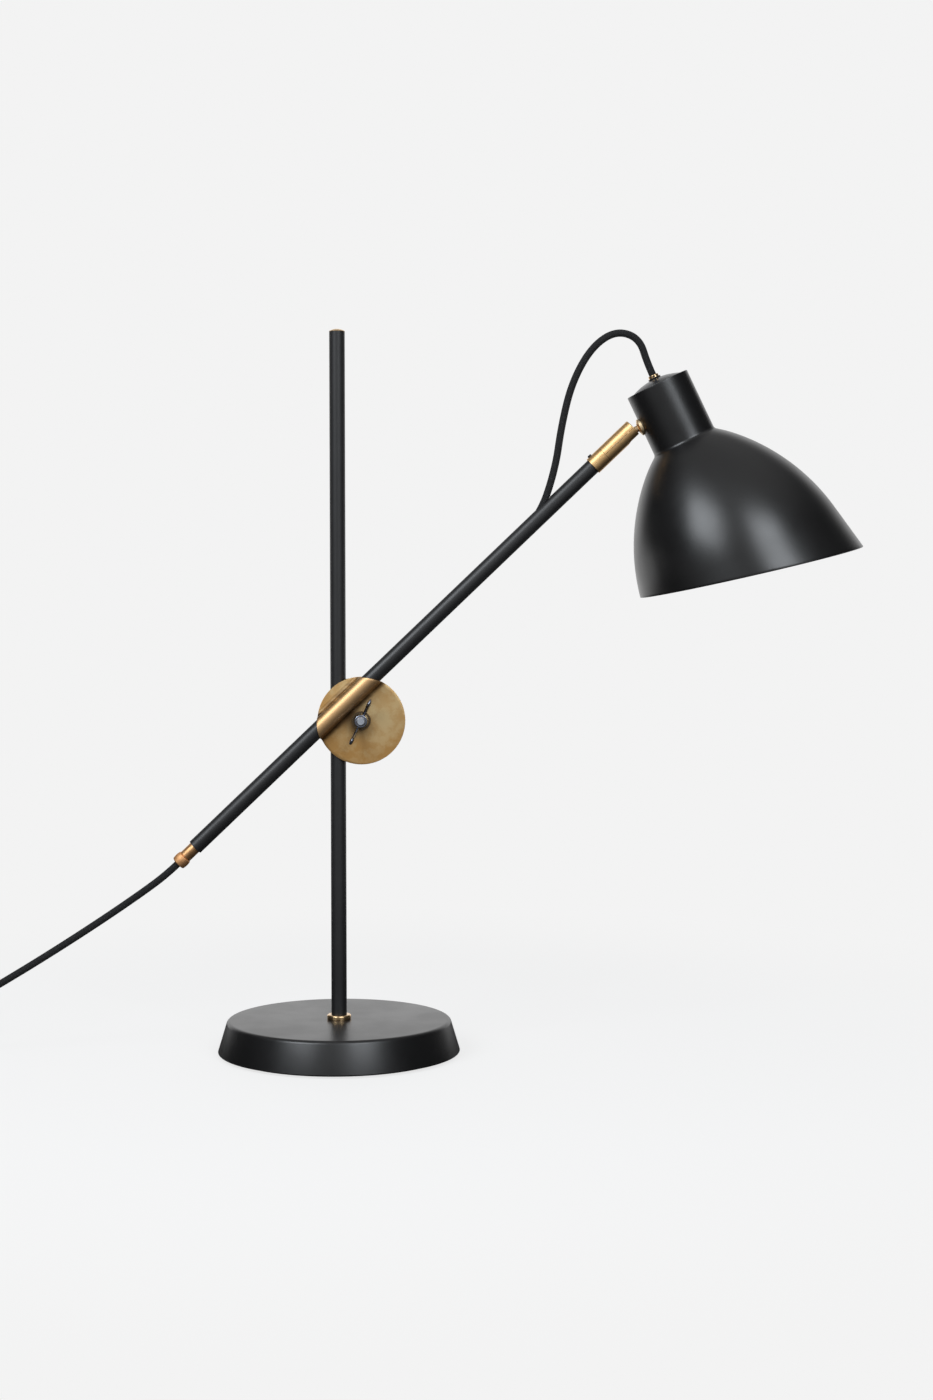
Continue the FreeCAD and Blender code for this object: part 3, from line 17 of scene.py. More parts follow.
import bmesh
import bpy
import numpy as np
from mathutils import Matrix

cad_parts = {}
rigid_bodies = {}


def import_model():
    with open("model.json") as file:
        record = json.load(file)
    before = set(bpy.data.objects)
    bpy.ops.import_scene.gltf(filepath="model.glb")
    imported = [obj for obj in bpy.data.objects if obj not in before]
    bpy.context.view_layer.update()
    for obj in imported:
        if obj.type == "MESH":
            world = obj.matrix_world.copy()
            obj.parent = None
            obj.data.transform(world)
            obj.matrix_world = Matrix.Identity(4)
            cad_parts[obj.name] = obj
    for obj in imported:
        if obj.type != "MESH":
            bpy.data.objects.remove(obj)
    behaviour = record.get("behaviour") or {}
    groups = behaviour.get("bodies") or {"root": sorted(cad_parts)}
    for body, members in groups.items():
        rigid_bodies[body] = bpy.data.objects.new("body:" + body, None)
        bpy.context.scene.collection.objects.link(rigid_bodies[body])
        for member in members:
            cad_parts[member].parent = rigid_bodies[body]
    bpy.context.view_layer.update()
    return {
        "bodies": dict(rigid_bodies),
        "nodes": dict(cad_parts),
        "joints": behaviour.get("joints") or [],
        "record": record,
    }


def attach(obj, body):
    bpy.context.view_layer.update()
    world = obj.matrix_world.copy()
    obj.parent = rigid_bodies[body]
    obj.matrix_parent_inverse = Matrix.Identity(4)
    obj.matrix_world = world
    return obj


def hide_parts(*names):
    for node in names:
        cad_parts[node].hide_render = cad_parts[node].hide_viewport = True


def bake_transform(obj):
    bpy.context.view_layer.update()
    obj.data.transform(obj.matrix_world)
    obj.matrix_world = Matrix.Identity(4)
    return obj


LOG = logging.getLogger("desk_lamp")
MM = 0.001
Array = np.ndarray
Pair = tuple[float, float]
Triple = tuple[float, float, float]
Colour = Triple
UP = np.array([0.0, 0.0, 1.0])
BACK = np.array([0.0, 1.0, 0.0])


class Slot(Enum):
    """The record's material slots, one for each finish."""

    POWDER_COAT = "powder_coat"
    BRASS_SHEET = "brass_sheet"
    BRASS_BRIGHT = "brass_bright"
    BRASS_DARK = "brass_dark"
    ZINC = "zinc"
    BLACK_STEEL = "black_steel"
    CAST_IRON = "cast_iron"
    FELT = "felt"
    CORD = "cord_textile"
    BLACK_PLASTIC = "black_plastic"
    ROCKER = "rocker_plastic"
    CAP = "cap_plastic"
    GLASS = "bulb_glass"
    BULB_CAP = "bulb_cap"
    PINS = "pin_metal"
    NYLON = "nylon"
    HOLDER = "holder_plastic"


class Body(Enum):
    """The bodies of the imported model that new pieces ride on."""

    BASE = "base"
    POLE = "pole"
    CLAMP = "clamp"
    TILT_DISC = "tilt_disc"
    NUT = "nut"
    ARM = "arm"
    SOCKET = "socket"
    SHADE = "shade"


# ---- geometry ----


def unit(vector: Array) -> Array:
    """The vector, or each row of vectors, at length one."""
    return vector / np.linalg.norm(vector, axis=-1, keepdims=True)


@dataclass(frozen=True)
class Frame:
    """A place and three axes, in the lamp's own millimetres."""

    origin: Array
    across: Array
    level: Array
    along: Array

    def place(self, local: Array) -> Array:
        """Carries local points (..., 3) into the lamp's frame."""
        return self.origin + local @ np.stack([self.across, self.level, self.along])

    def moved(self, distance: float) -> Frame:
        """The same axes, further along."""
        return Frame(self.origin + self.along * distance, self.across, self.level, self.along)


@dataclass(frozen=True)
class Layout:
    """The lamp's driving sizes and the frames of its sub-assemblies.

    Attributes:
        tube: Diameter of the pole and of the arm.
        tube_gap: From the pole to the arm where they cross.
        clamp_height: From the table to the clamp's bolt.
        channel: From the bolt to the middle of a pressed channel.
        arm_angle: The arm above level, in degrees.
        ball_place: Along the arm, from the clamp to the middle of the ball.
        stem_reach: From the ball's middle to the neck.
        stem_drop: From the neck's top to the stem.
        neck: Diameter of the neck.
        shade_lean: The shade's axis from upright, in degrees.
    """

    tube: float = 14.0
    tube_gap: float = 0.3
    clamp_height: float = 303.6
    channel: float = 21.3
    arm_angle: float = 43.72
    ball_place: float = 348.6
    stem_reach: float = 14.4
    stem_drop: float = 28.2
    neck: float = 58.2
    shade_lean: float = 25.7

    @property
    def arm_way(self) -> Array:
        """Direction of the arm, upwards."""
        turn = math.radians(self.arm_angle)
        return np.array([math.cos(turn), 0.0, math.sin(turn)])

    @property
    def arm_side(self) -> Array:
        """Direction square to the arm, to its upper left."""
        turn = math.radians(self.arm_angle)
        return np.array([-math.sin(turn), 0.0, math.cos(turn)])

    @property
    def clamp_middle(self) -> Array:
        """The point on the bolt's axis midway between the two discs."""
        return np.array([self.channel, -(self.tube + self.tube_gap) / 2, self.clamp_height])

    @property
    def front_disc(self) -> Frame:
        """The front disc: across along its channel, along away from the other disc."""
        return Frame(self.clamp_middle, self.arm_way, self.arm_side, -BACK)

    @property
    def rear_disc(self) -> Frame:
        """The rear disc: its channel is upright, and along points away from the front disc."""
        return Frame(self.clamp_middle, -UP, np.array([-1.0, 0.0, 0.0]), BACK)

    @property
    def arm(self) -> Frame:
        """A point on the arm's axis beside the bolt, with along up the arm."""
        foot = self.clamp_middle + self.arm_side * self.channel - BACK * (self.tube + self.tube_gap) / 2
        return Frame(foot, -self.arm_side, BACK, self.arm_way)

    @property
    def shade(self) -> Frame:
        """The middle of the neck's top, with along up the shade's axis."""
        turn = math.radians(self.shade_lean)
        stem = np.array([math.cos(turn), 0.0, math.sin(turn)])
        up = np.array([-math.sin(turn), 0.0, math.cos(turn)])
        ball = self.arm.moved(self.ball_place).origin
        return Frame(ball + stem * (self.stem_reach + self.neck / 2) + up * self.stem_drop, stem, BACK, up)


def upright(height: float) -> Frame:
    """A frame on the pole's axis at a height."""
    return Frame(UP * height, np.array([1.0, 0.0, 0.0]), BACK, UP)


def corner_arc(before: Array, corner: Array, after: Array, radius: float, steps: int) -> Array:
    """The arc that rounds one corner of an outline.

    Its centre lies on the corner's bisector, and its points are the two end spokes turned into each other
    by the sine rule for evenly spaced angles.

    Args:
        before: The corner before it.
        corner: The corner.
        after: The corner after it.
        radius: Radius of the arc.
        steps: Straight pieces in the arc.

    Returns:
        The arc's points, in the outline's order.
    """
    arrive, leave = unit(before - corner), unit(after - corner)
    half = math.acos(float(np.clip(arrive @ leave, -1, 1))) / 2
    centre = corner + unit(arrive + leave) * radius / math.sin(half)
    reach = radius / math.tan(half)
    first, last = corner + arrive * reach - centre, corner + leave * reach - centre
    turn = math.pi - 2 * half
    share = np.linspace(0, 1, steps + 1)[:, None]
    return centre + (np.sin((1 - share) * turn) * first + np.sin(share * turn) * last) / math.sin(turn)


def outline(corners: Sequence[tuple[float, ...]], ring: bool = True, steps: int = 6) -> Array:
    """A half section as (radius, height) points with its corners rounded.

    Args:
        corners: (radius, height) or (radius, height, rounding) of each corner.
        ring: Whether the last corner joins the first again.
        steps: Straight pieces in each rounded corner.

    Returns:
        The section's points in order.
    """
    spots = [np.array(corner[:2]) for corner in corners]
    found: list[Array] = []
    for number, corner in enumerate(corners):
        inner = ring or 0 < number < len(corners) - 1
        if len(corner) == 3 and inner:
            after = spots[(number + 1) % len(spots)]
            found.append(corner_arc(spots[number - 1], spots[number], after, corner[2], steps))
        else:
            found.append(spots[number][None])
    return np.concatenate(found)


def dome(radius: float, rise: float, level: float, steps: int = 12) -> Array:
    """Half section of a round cap, from its edge to the axis: a circle through the edge and the top.

    Args:
        radius: Radius of the edge.
        rise: Height of the top above the edge.
        level: Height of the edge.
        steps: Straight pieces in the section.

    Returns:
        (radius, height) of each point.
    """
    ball = (radius * radius + rise * rise) / (2 * rise)
    reach = np.linspace(radius, 0, steps + 1)
    return np.stack([reach, level + rise - ball + np.sqrt(ball * ball - reach * reach)], -1)


def lathe(section: Array, frame: Frame, columns: int = 96) -> Array:
    """A surface of revolution: each point (radius, height) of the section turned about the frame's axis.

    Args:
        section: The half section.
        frame: The axis.
        columns: Points round the axis.

    Returns:
        Points (rows, columns, 3).
    """
    turn = np.arange(columns) * (2 * math.pi / columns)
    radius, height = section[:, :1], section[:, 1:] + 0 * turn
    return frame.place(np.stack([radius * np.cos(turn), radius * np.sin(turn), height], -1))


@dataclass
class Surface:
    """A grid of points that becomes a mesh.

    Attributes:
        name: The piece's name.
        points: (rows, columns, 3) in millimetres; the columns go round.
        ring: Whether the last row joins the first.
        around: Whether the last column joins the first.
        values: Named numbers for the shader, one for each row.
        gap: A column after which no face is made, or -1.
        facing: For an open sheet, a direction that its front looks to.
        start: Distance already covered before the first row, for the surface's own map.
    """

    name: str
    points: Array
    ring: bool = False
    around: bool = True
    values: dict[str, Array] = field(default_factory=dict)
    gap: int = -1
    facing: Array | None = None
    start: float = 0.0

    def corners(self) -> tuple[Array, Array]:
        """Vertex numbers and map coordinates of each four-sided face.

        Returns:
            The vertex numbers (faces, 4), then (turn, distance along) of each of their corners.
        """
        rows, columns = self.points.shape[:2]
        row = np.arange(rows if self.ring else rows - 1)[:, None]
        column = np.arange(columns if self.around else columns - 1)
        column = column[column != self.gap][None, :]
        below, right = (row + 1) % rows, (column + 1) % columns
        faces = np.stack(np.broadcast_arrays(row * columns + column, row * columns + right,
                                             below * columns + right, below * columns + column), -1)
        steps = np.linalg.norm(np.diff(self.points[:, 0], axis=0, append=self.points[:1, 0]), axis=-1)
        along = self.start + np.concatenate([[0.0], np.cumsum(steps)])
        turn = np.stack(np.broadcast_arrays(column, column + 1, column + 1, column + 0 * row), -1) / columns
        length = np.stack(np.broadcast_arrays(along[row], along[row], along[row + 1],
                                              along[row + 1] + 0 * column), -1)
        return faces.reshape(-1, 4), np.stack([turn, length], -1).reshape(-1, 2)

    def build(self) -> bpy.types.Object:
        """Makes the mesh: faces look outwards, doubled points are merged, and only real edges stay sharp.

        Returns:
            The piece.
        """
        faces, places = self.corners()
        mesh = bpy.data.meshes.new(self.name)
        mesh.from_pydata((self.points.reshape(-1, 3) * MM).tolist(), [], faces.tolist())
        mesh.uv_layers.new(name="Surface").data.foreach_set("uv", places.ravel().astype(np.float32))
        for name, amounts in self.values.items():
            spread = np.repeat(amounts, self.points.shape[1]).astype(np.float32)
            mesh.attributes.new(name, "FLOAT", "POINT").data.foreach_set("value", spread)
        work = bmesh.new()
        work.from_mesh(mesh)
        bmesh.ops.remove_doubles(work, verts=work.verts, dist=0.002 * MM)
        if self.facing is None:
            bmesh.ops.recalc_face_normals(work, faces=work.faces)
        elif sum(face.normal.dot(self.facing) * face.calc_area() for face in work.faces) < 0:
            bmesh.ops.reverse_faces(work, faces=work.faces)
        work.to_mesh(mesh)
        work.free()
        mesh.polygons.foreach_set("use_smooth", np.ones(len(mesh.polygons), bool))
        mesh.set_sharp_from_angle(angle=math.radians(32))
        piece = bpy.data.objects.new(self.name, mesh)
        bpy.context.scene.collection.objects.link(piece)
        return piece


def joined(name: str, surfaces: Sequence[Surface]) -> bpy.types.Object:
    """One piece made of several closed surfaces.

    Args:
        name: The piece's name.
        surfaces: The closed surfaces.

    Returns:
        The piece.
    """
    parts = [surface.build() for surface in surfaces]
    work = bmesh.new()
    for part in parts:
        work.from_mesh(part.data)
    mesh = bpy.data.meshes.new(name)
    work.to_mesh(mesh)
    work.free()
    for part in parts:
        bpy.data.objects.remove(part)
    piece = bpy.data.objects.new(name, mesh)
    bpy.context.scene.collection.objects.link(piece)
    return piece


# ---- shader building ----


class Tree:
    """A shader node tree that is being wired."""

    def __init__(self, tree: bpy.types.NodeTree) -> None:
        """Keeps the tree."""
        self.tree = tree

    def put(self, socket: bpy.types.NodeSocket, value: Any) -> None:
        """Links a socket into another, or sets its value.

        Args:
            socket: The input.
            value: A socket, a number, a vector, or a colour without its alpha.
        """
        if isinstance(value, bpy.types.NodeSocket):
            self.tree.links.new(value, socket)
        elif isinstance(value, tuple) and socket.type == "RGBA":
            socket.default_value = (*value, 1.0)
        else:
            socket.default_value = value

    def add(self, kind: str, inputs: dict[Any, Any] | None = None, **settings: Any) -> bpy.types.Node:
        """Adds a node with its settings and inputs.

        Args:
            kind: The node's type.
            inputs: A value or a socket for each input, by its name or number.
            settings: The node's own settings.

        Returns:
            The node.
        """
        node = self.tree.nodes.new(kind)
        for name, value in settings.items():
            setattr(node, name, value)
        for name, value in (inputs or {}).items():
            self.put(node.inputs[name], value)
        return node

    def maths(self, operation: str, *values: Any, clamp: bool = False) -> bpy.types.NodeSocket:
        """The result of a Math node."""
        node = self.add("ShaderNodeMath", dict(enumerate(values)), operation=operation, use_clamp=clamp)
        return node.outputs[0]

    def mix(self, share: Any, low: Any, high: Any) -> bpy.types.NodeSocket:
        """A colour between two colours.

        Args:
            share: How much of the second colour.
            low: The first colour.
            high: The second colour.

        Returns:
            The mixed colour.
        """
        node = self.add("ShaderNodeMix", data_type="RGBA")
        for place, value in ((0, share), (6, low), (7, high)):
            self.put(node.inputs[place], value)
        return node.outputs[2]

    def between(self, value: Any, low: float, high: float, first: float = 0.0,
                last: float = 1.0) -> bpy.types.NodeSocket:
        """Maps a value from low..high to first..last along a smooth step.

        Args:
            value: The value.
            low: Where the step starts.
            high: Where it ends.
            first: The result at its start.
            last: The result at its end.

        Returns:
            The result.
        """
        node = self.add("ShaderNodeMapRange", {0: value, 1: low, 2: high, 3: first, 4: last},
                        interpolation_type="SMOOTHSTEP")
        return node.outputs[0]

    def noise(self, vector: Any, scale: Any, detail: float = 2.0, rough: float = 0.5) -> bpy.types.NodeSocket:
        """Noise from 0 to 1.

        Args:
            vector: The place.
            scale: Scale of the noise.
            detail: Number of finer layers.
            rough: Weight of the finer layers.

        Returns:
            The noise.
        """
        node = self.add("ShaderNodeTexNoise", {"Vector": vector, "Scale": scale, "Detail": detail,
                                               "Roughness": rough})
        return node.outputs["Fac"]

    def read(self, attribute: str) -> bpy.types.NodeSocket:
        """A number that the mesh holds for each point."""
        return self.add("ShaderNodeAttribute", attribute_name=attribute).outputs["Fac"]

    def white(self, strength: Any) -> bpy.types.NodeSocket:
        """A white glow."""
        return self.add("ShaderNodeEmission", {"Color": (1.0, 1.0, 1.0), "Strength": strength}).outputs[0]

    def matt(self, grey: float) -> bpy.types.NodeSocket:
        """A matt grey surface."""
        return self.add("ShaderNodeBsdfDiffuse", {"Color": (grey, grey, grey)}).outputs[0]

    def place(self) -> bpy.types.NodeSocket:
        """The point on the object, in metres."""
        return self.add("ShaderNodeTexCoord").outputs["Object"]

    def group(self, group: bpy.types.NodeTree, **inputs: Any) -> bpy.types.Node:
        """Places a node group, with its inputs given by name (underscores stand for spaces).

        Args:
            group: The group.
            inputs: A value or a socket for each input.

        Returns:
            The group's node.
        """
        node = self.add("ShaderNodeGroup", node_tree=group)
        for name, value in inputs.items():
            self.put(node.inputs[name.replace("_", " ")], value)
        return node

    def bump(self, height: Any, distance: float, strength: float = 1.0) -> bpy.types.NodeSocket:
        """A normal from a height; the distance is in millimetres."""
        return self.add("ShaderNodeBump", {"Height": height, "Distance": distance * MM,
                                           "Strength": strength}).outputs[0]


def new_group(name: str, inputs: dict[str, Any], outputs: Sequence[str]) -> tuple[Tree, Any, Any]:
    """Starts a shader node group.

    Args:
        name: The group's name.
        inputs: Name and default of each input; a tuple makes a vector.
        outputs: Names of the outputs, all plain values.

    Returns:
        The tree, its input node's sockets and its output node.
    """
    made = bpy.data.node_groups.new(name, "ShaderNodeTree")
    for key, value in inputs.items():
        kind = "NodeSocketVector" if isinstance(value, tuple) else "NodeSocketFloat"
        made.interface.new_socket(key, in_out="INPUT", socket_type=kind).default_value = value
    for key in outputs:
        made.interface.new_socket(key, in_out="OUTPUT", socket_type="NodeSocketFloat")
    tree = Tree(made)
    return tree, tree.add("NodeGroupInput").outputs, tree.add("NodeGroupOutput")


class Effects:
    """The effects that several finishes share, each a node group."""

    def __init__(self) -> None:
        """Builds the groups."""
        self.grain = self.make_grain()
        self.mottle = self.make_mottle()
        self.brushing = self.make_brushing()
        self.braid = self.make_braid()

    @staticmethod
    def make_grain() -> bpy.types.NodeTree:
        """Fine texture of a sprayed or moulded surface: a close noise with a slow one under it.

        Returns:
            The group.
        """
        tree, given, out = new_group("Grain", {"Vector": (0.0, 0.0, 0.0), "Scale": 1500.0, "Slow": 60.0},
                                     ("Height", "Tone"))
        tree.put(out.inputs["Height"], tree.noise(given["Vector"], given["Scale"], 3.0, 0.6))
        tree.put(out.inputs["Tone"], tree.noise(given["Vector"], given["Slow"], 4.0, 0.55))
        return tree.tree

    @staticmethod
    def make_mottle() -> bpy.types.NodeTree:
        """Cloudy patches with soft edges: noise pushed about by a second noise, then cut at two levels.

        Returns:
            The group.
        """
        tree, given, out = new_group(
            "Mottle", {"Vector": (0.0, 0.0, 0.0), "Scale": 90.0, "From": 0.4, "To": 0.65}, ("Mask",))
        drift = tree.add("ShaderNodeTexNoise", {"Vector": given["Vector"], "Scale": given["Scale"]})
        pushed = tree.add("ShaderNodeVectorMath", {0: drift.outputs["Color"], "Scale": 0.012},
                          operation="SCALE")
        moved = tree.add("ShaderNodeVectorMath", {0: given["Vector"], 1: pushed.outputs[0]}, operation="ADD")
        cloud = tree.noise(moved.outputs[0], given["Scale"], 6.0, 0.62)
        mask = tree.add("ShaderNodeMapRange", {0: cloud, 1: given["From"], 2: given["To"]},
                        interpolation_type="SMOOTHSTEP")
        tree.put(out.inputs["Mask"], mask.outputs[0])
        return tree.tree

    @staticmethod
    def make_brushing() -> bpy.types.NodeTree:
        """Fine lines left by a tool: noise that changes quickly along the vector's Z and slowly across it.

        Returns:
            The group.
        """
        tree, given, out = new_group("Brushing", {"Vector": (0.0, 0.0, 0.0), "Lines": 4000.0, "Length": 40.0},
                                     ("Line", "Band"))
        parts = tree.add("ShaderNodeSeparateXYZ", {0: given["Vector"]}).outputs
        drawn = tree.add("ShaderNodeCombineXYZ", {
            "X": tree.maths("MULTIPLY", parts["X"], given["Length"]),
            "Y": tree.maths("MULTIPLY", parts["Y"], given["Length"]),
            "Z": tree.maths("MULTIPLY", parts["Z"], given["Lines"])}).outputs[0]
        tree.put(out.inputs["Line"], tree.noise(drawn, 1.0, 3.0, 0.6))
        wide = tree.add("ShaderNodeVectorMath", {0: drawn, "Scale": 0.12}, operation="SCALE").outputs[0]
        tree.put(out.inputs["Band"], tree.noise(wide, 1.0, 2.0, 0.5))
        return tree.tree

    @staticmethod
    def make_braid() -> bpy.types.NodeTree:
        """A braided sleeve on a surface's own map (turn, millimetres).

        Two families of yarns wind round in opposite ways. Where the product of their two waves is positive
        the first family lies on top, and elsewhere the second, so that the height is a weave of lozenges.

        Returns:
            The group.
        """
        tree, given, out = new_group("Braid", {"Vector": (0.0, 0.0, 0.0), "Yarns": 8.0, "Pitch": 2.4},
                                     ("Height", "Glint"))
        parts = tree.add("ShaderNodeSeparateXYZ", {0: given["Vector"]}).outputs
        turn = tree.maths("MULTIPLY", parts["X"], given["Yarns"])
        climb = tree.maths("DIVIDE", parts["Y"], given["Pitch"])
        left = tree.maths("MULTIPLY", tree.maths("ADD", turn, climb), 2 * math.pi)
        right = tree.maths("MULTIPLY", tree.maths("SUBTRACT", turn, climb), 2 * math.pi)
        weave = tree.maths("MULTIPLY", tree.maths("SINE", left), tree.maths("SINE", right))
        height = tree.maths("ABSOLUTE", weave)
        tree.put(out.inputs["Height"], tree.maths("POWER", height, 0.6))
        # Glints: a few yarns on top of the weave, picked by a loose noise, are painted pale as painted
        # highlights.
        loose = tree.add("ShaderNodeCombineXYZ", {"X": tree.maths("MULTIPLY", turn, 2.0),
                                                  "Y": tree.maths("MULTIPLY", climb, 2.0)}).outputs[0]
        odd = tree.between(tree.noise(loose, 1.0, 1.0), 0.60, 0.74)
        tree.put(out.inputs["Glint"], tree.maths("MULTIPLY", odd, height))
        return tree.tree


# ---- finishes ----


@dataclass(frozen=True)
class Finish:
    """A finish of one colour; the classes below add what the real surfaces show."""

    slot: Slot
    colour: Colour
    roughness: float = 0.5
    metallic: float = 0.0
    label: str = "finish"

    def shader(self, tree: Tree, effects: Effects) -> dict[str, Any]:
        """Inputs of the Principled shader that change over the surface.

        Args:
            tree: The material's tree.
            effects: The shared effects.

        Returns:
            A value or a socket for each input.
        """
        grain = tree.group(effects.grain, Vector=tree.place())
        tone = tree.mix(grain.outputs["Tone"], tuple(c * 0.85 for c in self.colour),
                        tuple(min(1.0, c * 1.12) for c in self.colour))
        rough = tree.between(grain.outputs["Tone"], 0.3, 0.7, self.roughness - 0.05, self.roughness + 0.05)
        return {"Base Color": tone, "Roughness": rough, "Normal": tree.bump(grain.outputs["Height"], 0.01)}

    def constants(self) -> dict[str, Any]:
        """Inputs of the Principled shader that are the same everywhere."""
        return {"Metallic": self.metallic}

    def material(self, effects: Effects) -> bpy.types.Material:
        """Builds the material.

        Args:
            effects: The shared effects.

        Returns:
            The material.
        """
        made = bpy.data.materials.new(f"{self.slot.value}_{self.label}")
        made.use_nodes = True
        tree = Tree(made.node_tree)
        shader = made.node_tree.nodes["Principled BSDF"]
        for name, value in {**self.constants(), **self.shader(tree, effects)}.items():
            tree.put(shader.inputs[name], value)
        return made


@dataclass(frozen=True)
class PowderCoat(Finish):
    """Satin black paint: a close orange-peel grain that breaks the highlights softly."""

    grain_depth: float = 0.012
    ior: float = 1.68

    def constants(self) -> dict[str, Any]:
        """A strong clear binder over the pigment."""
        return {"IOR": self.ior}

    def shader(self, tree: Tree, effects: Effects) -> dict[str, Any]:
        """Grain in the normal, and a slow change of the gloss.

        Args:
            tree: The material's tree.
            effects: The shared effects.

        Returns:
            A value or a socket for each input.
        """
        grain = tree.group(effects.grain, Vector=tree.place(), Scale=2600.0, Slow=22.0)
        rough = tree.between(grain.outputs["Tone"], 0.3, 0.7, self.roughness - 0.025, self.roughness + 0.025)
        colour = tree.mix(grain.outputs["Tone"], tuple(c * 0.8 for c in self.colour),
                          tuple(c * 1.2 for c in self.colour))
        return {"Base Color": colour, "Roughness": rough,
                "Normal": tree.bump(grain.outputs["Height"], self.grain_depth)}


@dataclass(frozen=True)
class AgedSheet(Finish):
    """Pressed brass sheet: olive and orange patina on the flats, bare metal on the ridge.

    The mesh gives five numbers for each point: ridge (1 on the channel, 0 on the flats), bend_dirt_and_shade
    (1 in the bends beside it, darkened with dirt and painted shade), rim (the share of the radius),
    dirt_and_shade (most beside the nut, dirt with painted shade) and lower_left_warmth (most at the lower
    left, where the sheet turns warmer and darker).

    Attributes:
        warm: Colour of the orange patina.
        ridge: Colour of the bare metal on the channel.
        stain: Colour of the dirt and painted shade in the bends and beside the nut.
    """

    warm: Colour = (0.72, 0.41, 0.14)
    ridge: Colour = (0.90, 0.57, 0.28)
    stain: Colour = (0.15, 0.08, 0.032)

    def constants(self) -> dict[str, Any]:
        """A thin lacquer over the metal."""
        return {"Metallic": 1.0, "Coat Weight": 0.25, "Coat Roughness": 0.3}

    def shader(self, tree: Tree, effects: Effects) -> dict[str, Any]:
        """Patina by place, dirt and painted shade in the bends and beside the nut, and a fine brushing.

        Args:
            tree: The material's tree.
            effects: The shared effects.

        Returns:
            A value or a socket for each input.
        """
        place, bend_dirt_and_shade = tree.place(), tree.read("bend_dirt_and_shade")
        mottle = tree.group(effects.mottle, Vector=place, Scale=55.0, From=0.40, To=0.60)
        brushing = tree.group(effects.brushing, Vector=place, Lines=1800.0, Length=160.0)
        clouds = tree.maths("MULTIPLY", mottle.outputs["Mask"], 0.5)
        edge = tree.maths("MULTIPLY", tree.between(tree.read("rim"), 0.55, 1.0), 0.3)
        # The sheet turns warmer and darker towards the lower left.
        side = tree.maths("MULTIPLY", tree.read("lower_left_warmth"), 0.5)
        warmth = tree.maths("ADD", clouds, tree.maths("ADD", edge, side), clamp=True)
        # Beside the nut the flats are darkened with dirt and painted shade.
        flat = tree.mix(tree.read("dirt_and_shade"), tree.mix(warmth, self.colour, self.warm), self.stain)
        bare = tree.mix(tree.read("ridge"), flat, self.ridge)
        # Painted shade with some dirt darkens the bends beside the channel, in ragged bands.
        ragged_bend_dirt_and_shade = tree.maths("MULTIPLY", bend_dirt_and_shade, tree.between(brushing.outputs["Band"], 0.2, 0.75, 0.55, 1.0))
        lines = tree.maths("MULTIPLY", tree.maths("SUBTRACT", brushing.outputs["Line"], 0.5), 0.08)
        rough = tree.maths("ADD", tree.maths("ADD", self.roughness, lines),
                           tree.maths("MULTIPLY", bend_dirt_and_shade, 0.15), clamp=True)
        return {"Base Color": tree.mix(ragged_bend_dirt_and_shade, bare, self.stain), "Roughness": rough,
                "Normal": tree.bump(brushing.outputs["Line"], 0.004)}


@dataclass(frozen=True)
class TurnedMetal(Finish):
    """Metal turned on a lathe or drawn: fine lines round an axis, with darker bands and spots.

    Attributes:
        axis: Turns, in degrees, that bring the piece's axis onto Z.
        stain: Colour of the darker bands.
        lines: Tool lines in each metre.
        worn: How strongly the stains cover the metal.
        seam: Place along the axis of a dark line where two pieces meet, in metres; none at zero.
        seam_dirt: Colour of that line.
    """

    axis: Triple = (0.0, 0.0, 0.0)
    stain: Colour = (0.1, 0.05, 0.02)
    lines: float = 5000.0
    worn: float = 0.35
    seam: float = 0.0
    seam_dirt: Colour = (0.03, 0.015, 0.006)

    def constants(self) -> dict[str, Any]:
        """Bare metal under a film of clear lacquer or oil."""
        return {"Metallic": self.metallic, "Coat Weight": 0.25, "Coat Roughness": 0.3}

    def shader(self, tree: Tree, effects: Effects) -> dict[str, Any]:
        """Tool lines in the normal and the gloss, stains in the colour.

        Args:
            tree: The material's tree.
            effects: The shared effects.

        Returns:
            A value or a socket for each input.
        """
        turned = tree.add("ShaderNodeMapping", {"Vector": tree.place()}, vector_type="POINT")
        turned.inputs["Rotation"].default_value = tuple(math.radians(angle) for angle in self.axis)
        brushing = tree.group(effects.brushing, Vector=turned.outputs[0], Lines=self.lines, Length=90.0)
        mottle = tree.group(effects.mottle, Vector=tree.place(), Scale=160.0, From=0.45, To=0.75)
        bands = tree.between(brushing.outputs["Band"], 0.55, 0.8)
        worn = tree.maths("MULTIPLY", tree.maths("MAXIMUM", mottle.outputs["Mask"], bands), self.worn)
        colour = tree.mix(worn, self.colour, self.stain)
        if self.seam:
            along = tree.add("ShaderNodeSeparateXYZ", {"Vector": turned.outputs[0]}).outputs["Z"]
            away = tree.maths("ABSOLUTE", tree.maths("SUBTRACT", along, self.seam))
            colour = tree.mix(tree.between(away, 0.0001, 0.00035, 0.6, 0.0), colour, self.seam_dirt)
        lines = tree.maths("MULTIPLY", tree.maths("SUBTRACT", brushing.outputs["Line"], 0.5), 0.2)
        return {"Base Color": colour, "Roughness": tree.maths("ADD", self.roughness, lines, clamp=True),
                "Normal": tree.bump(brushing.outputs["Line"], 0.006)}


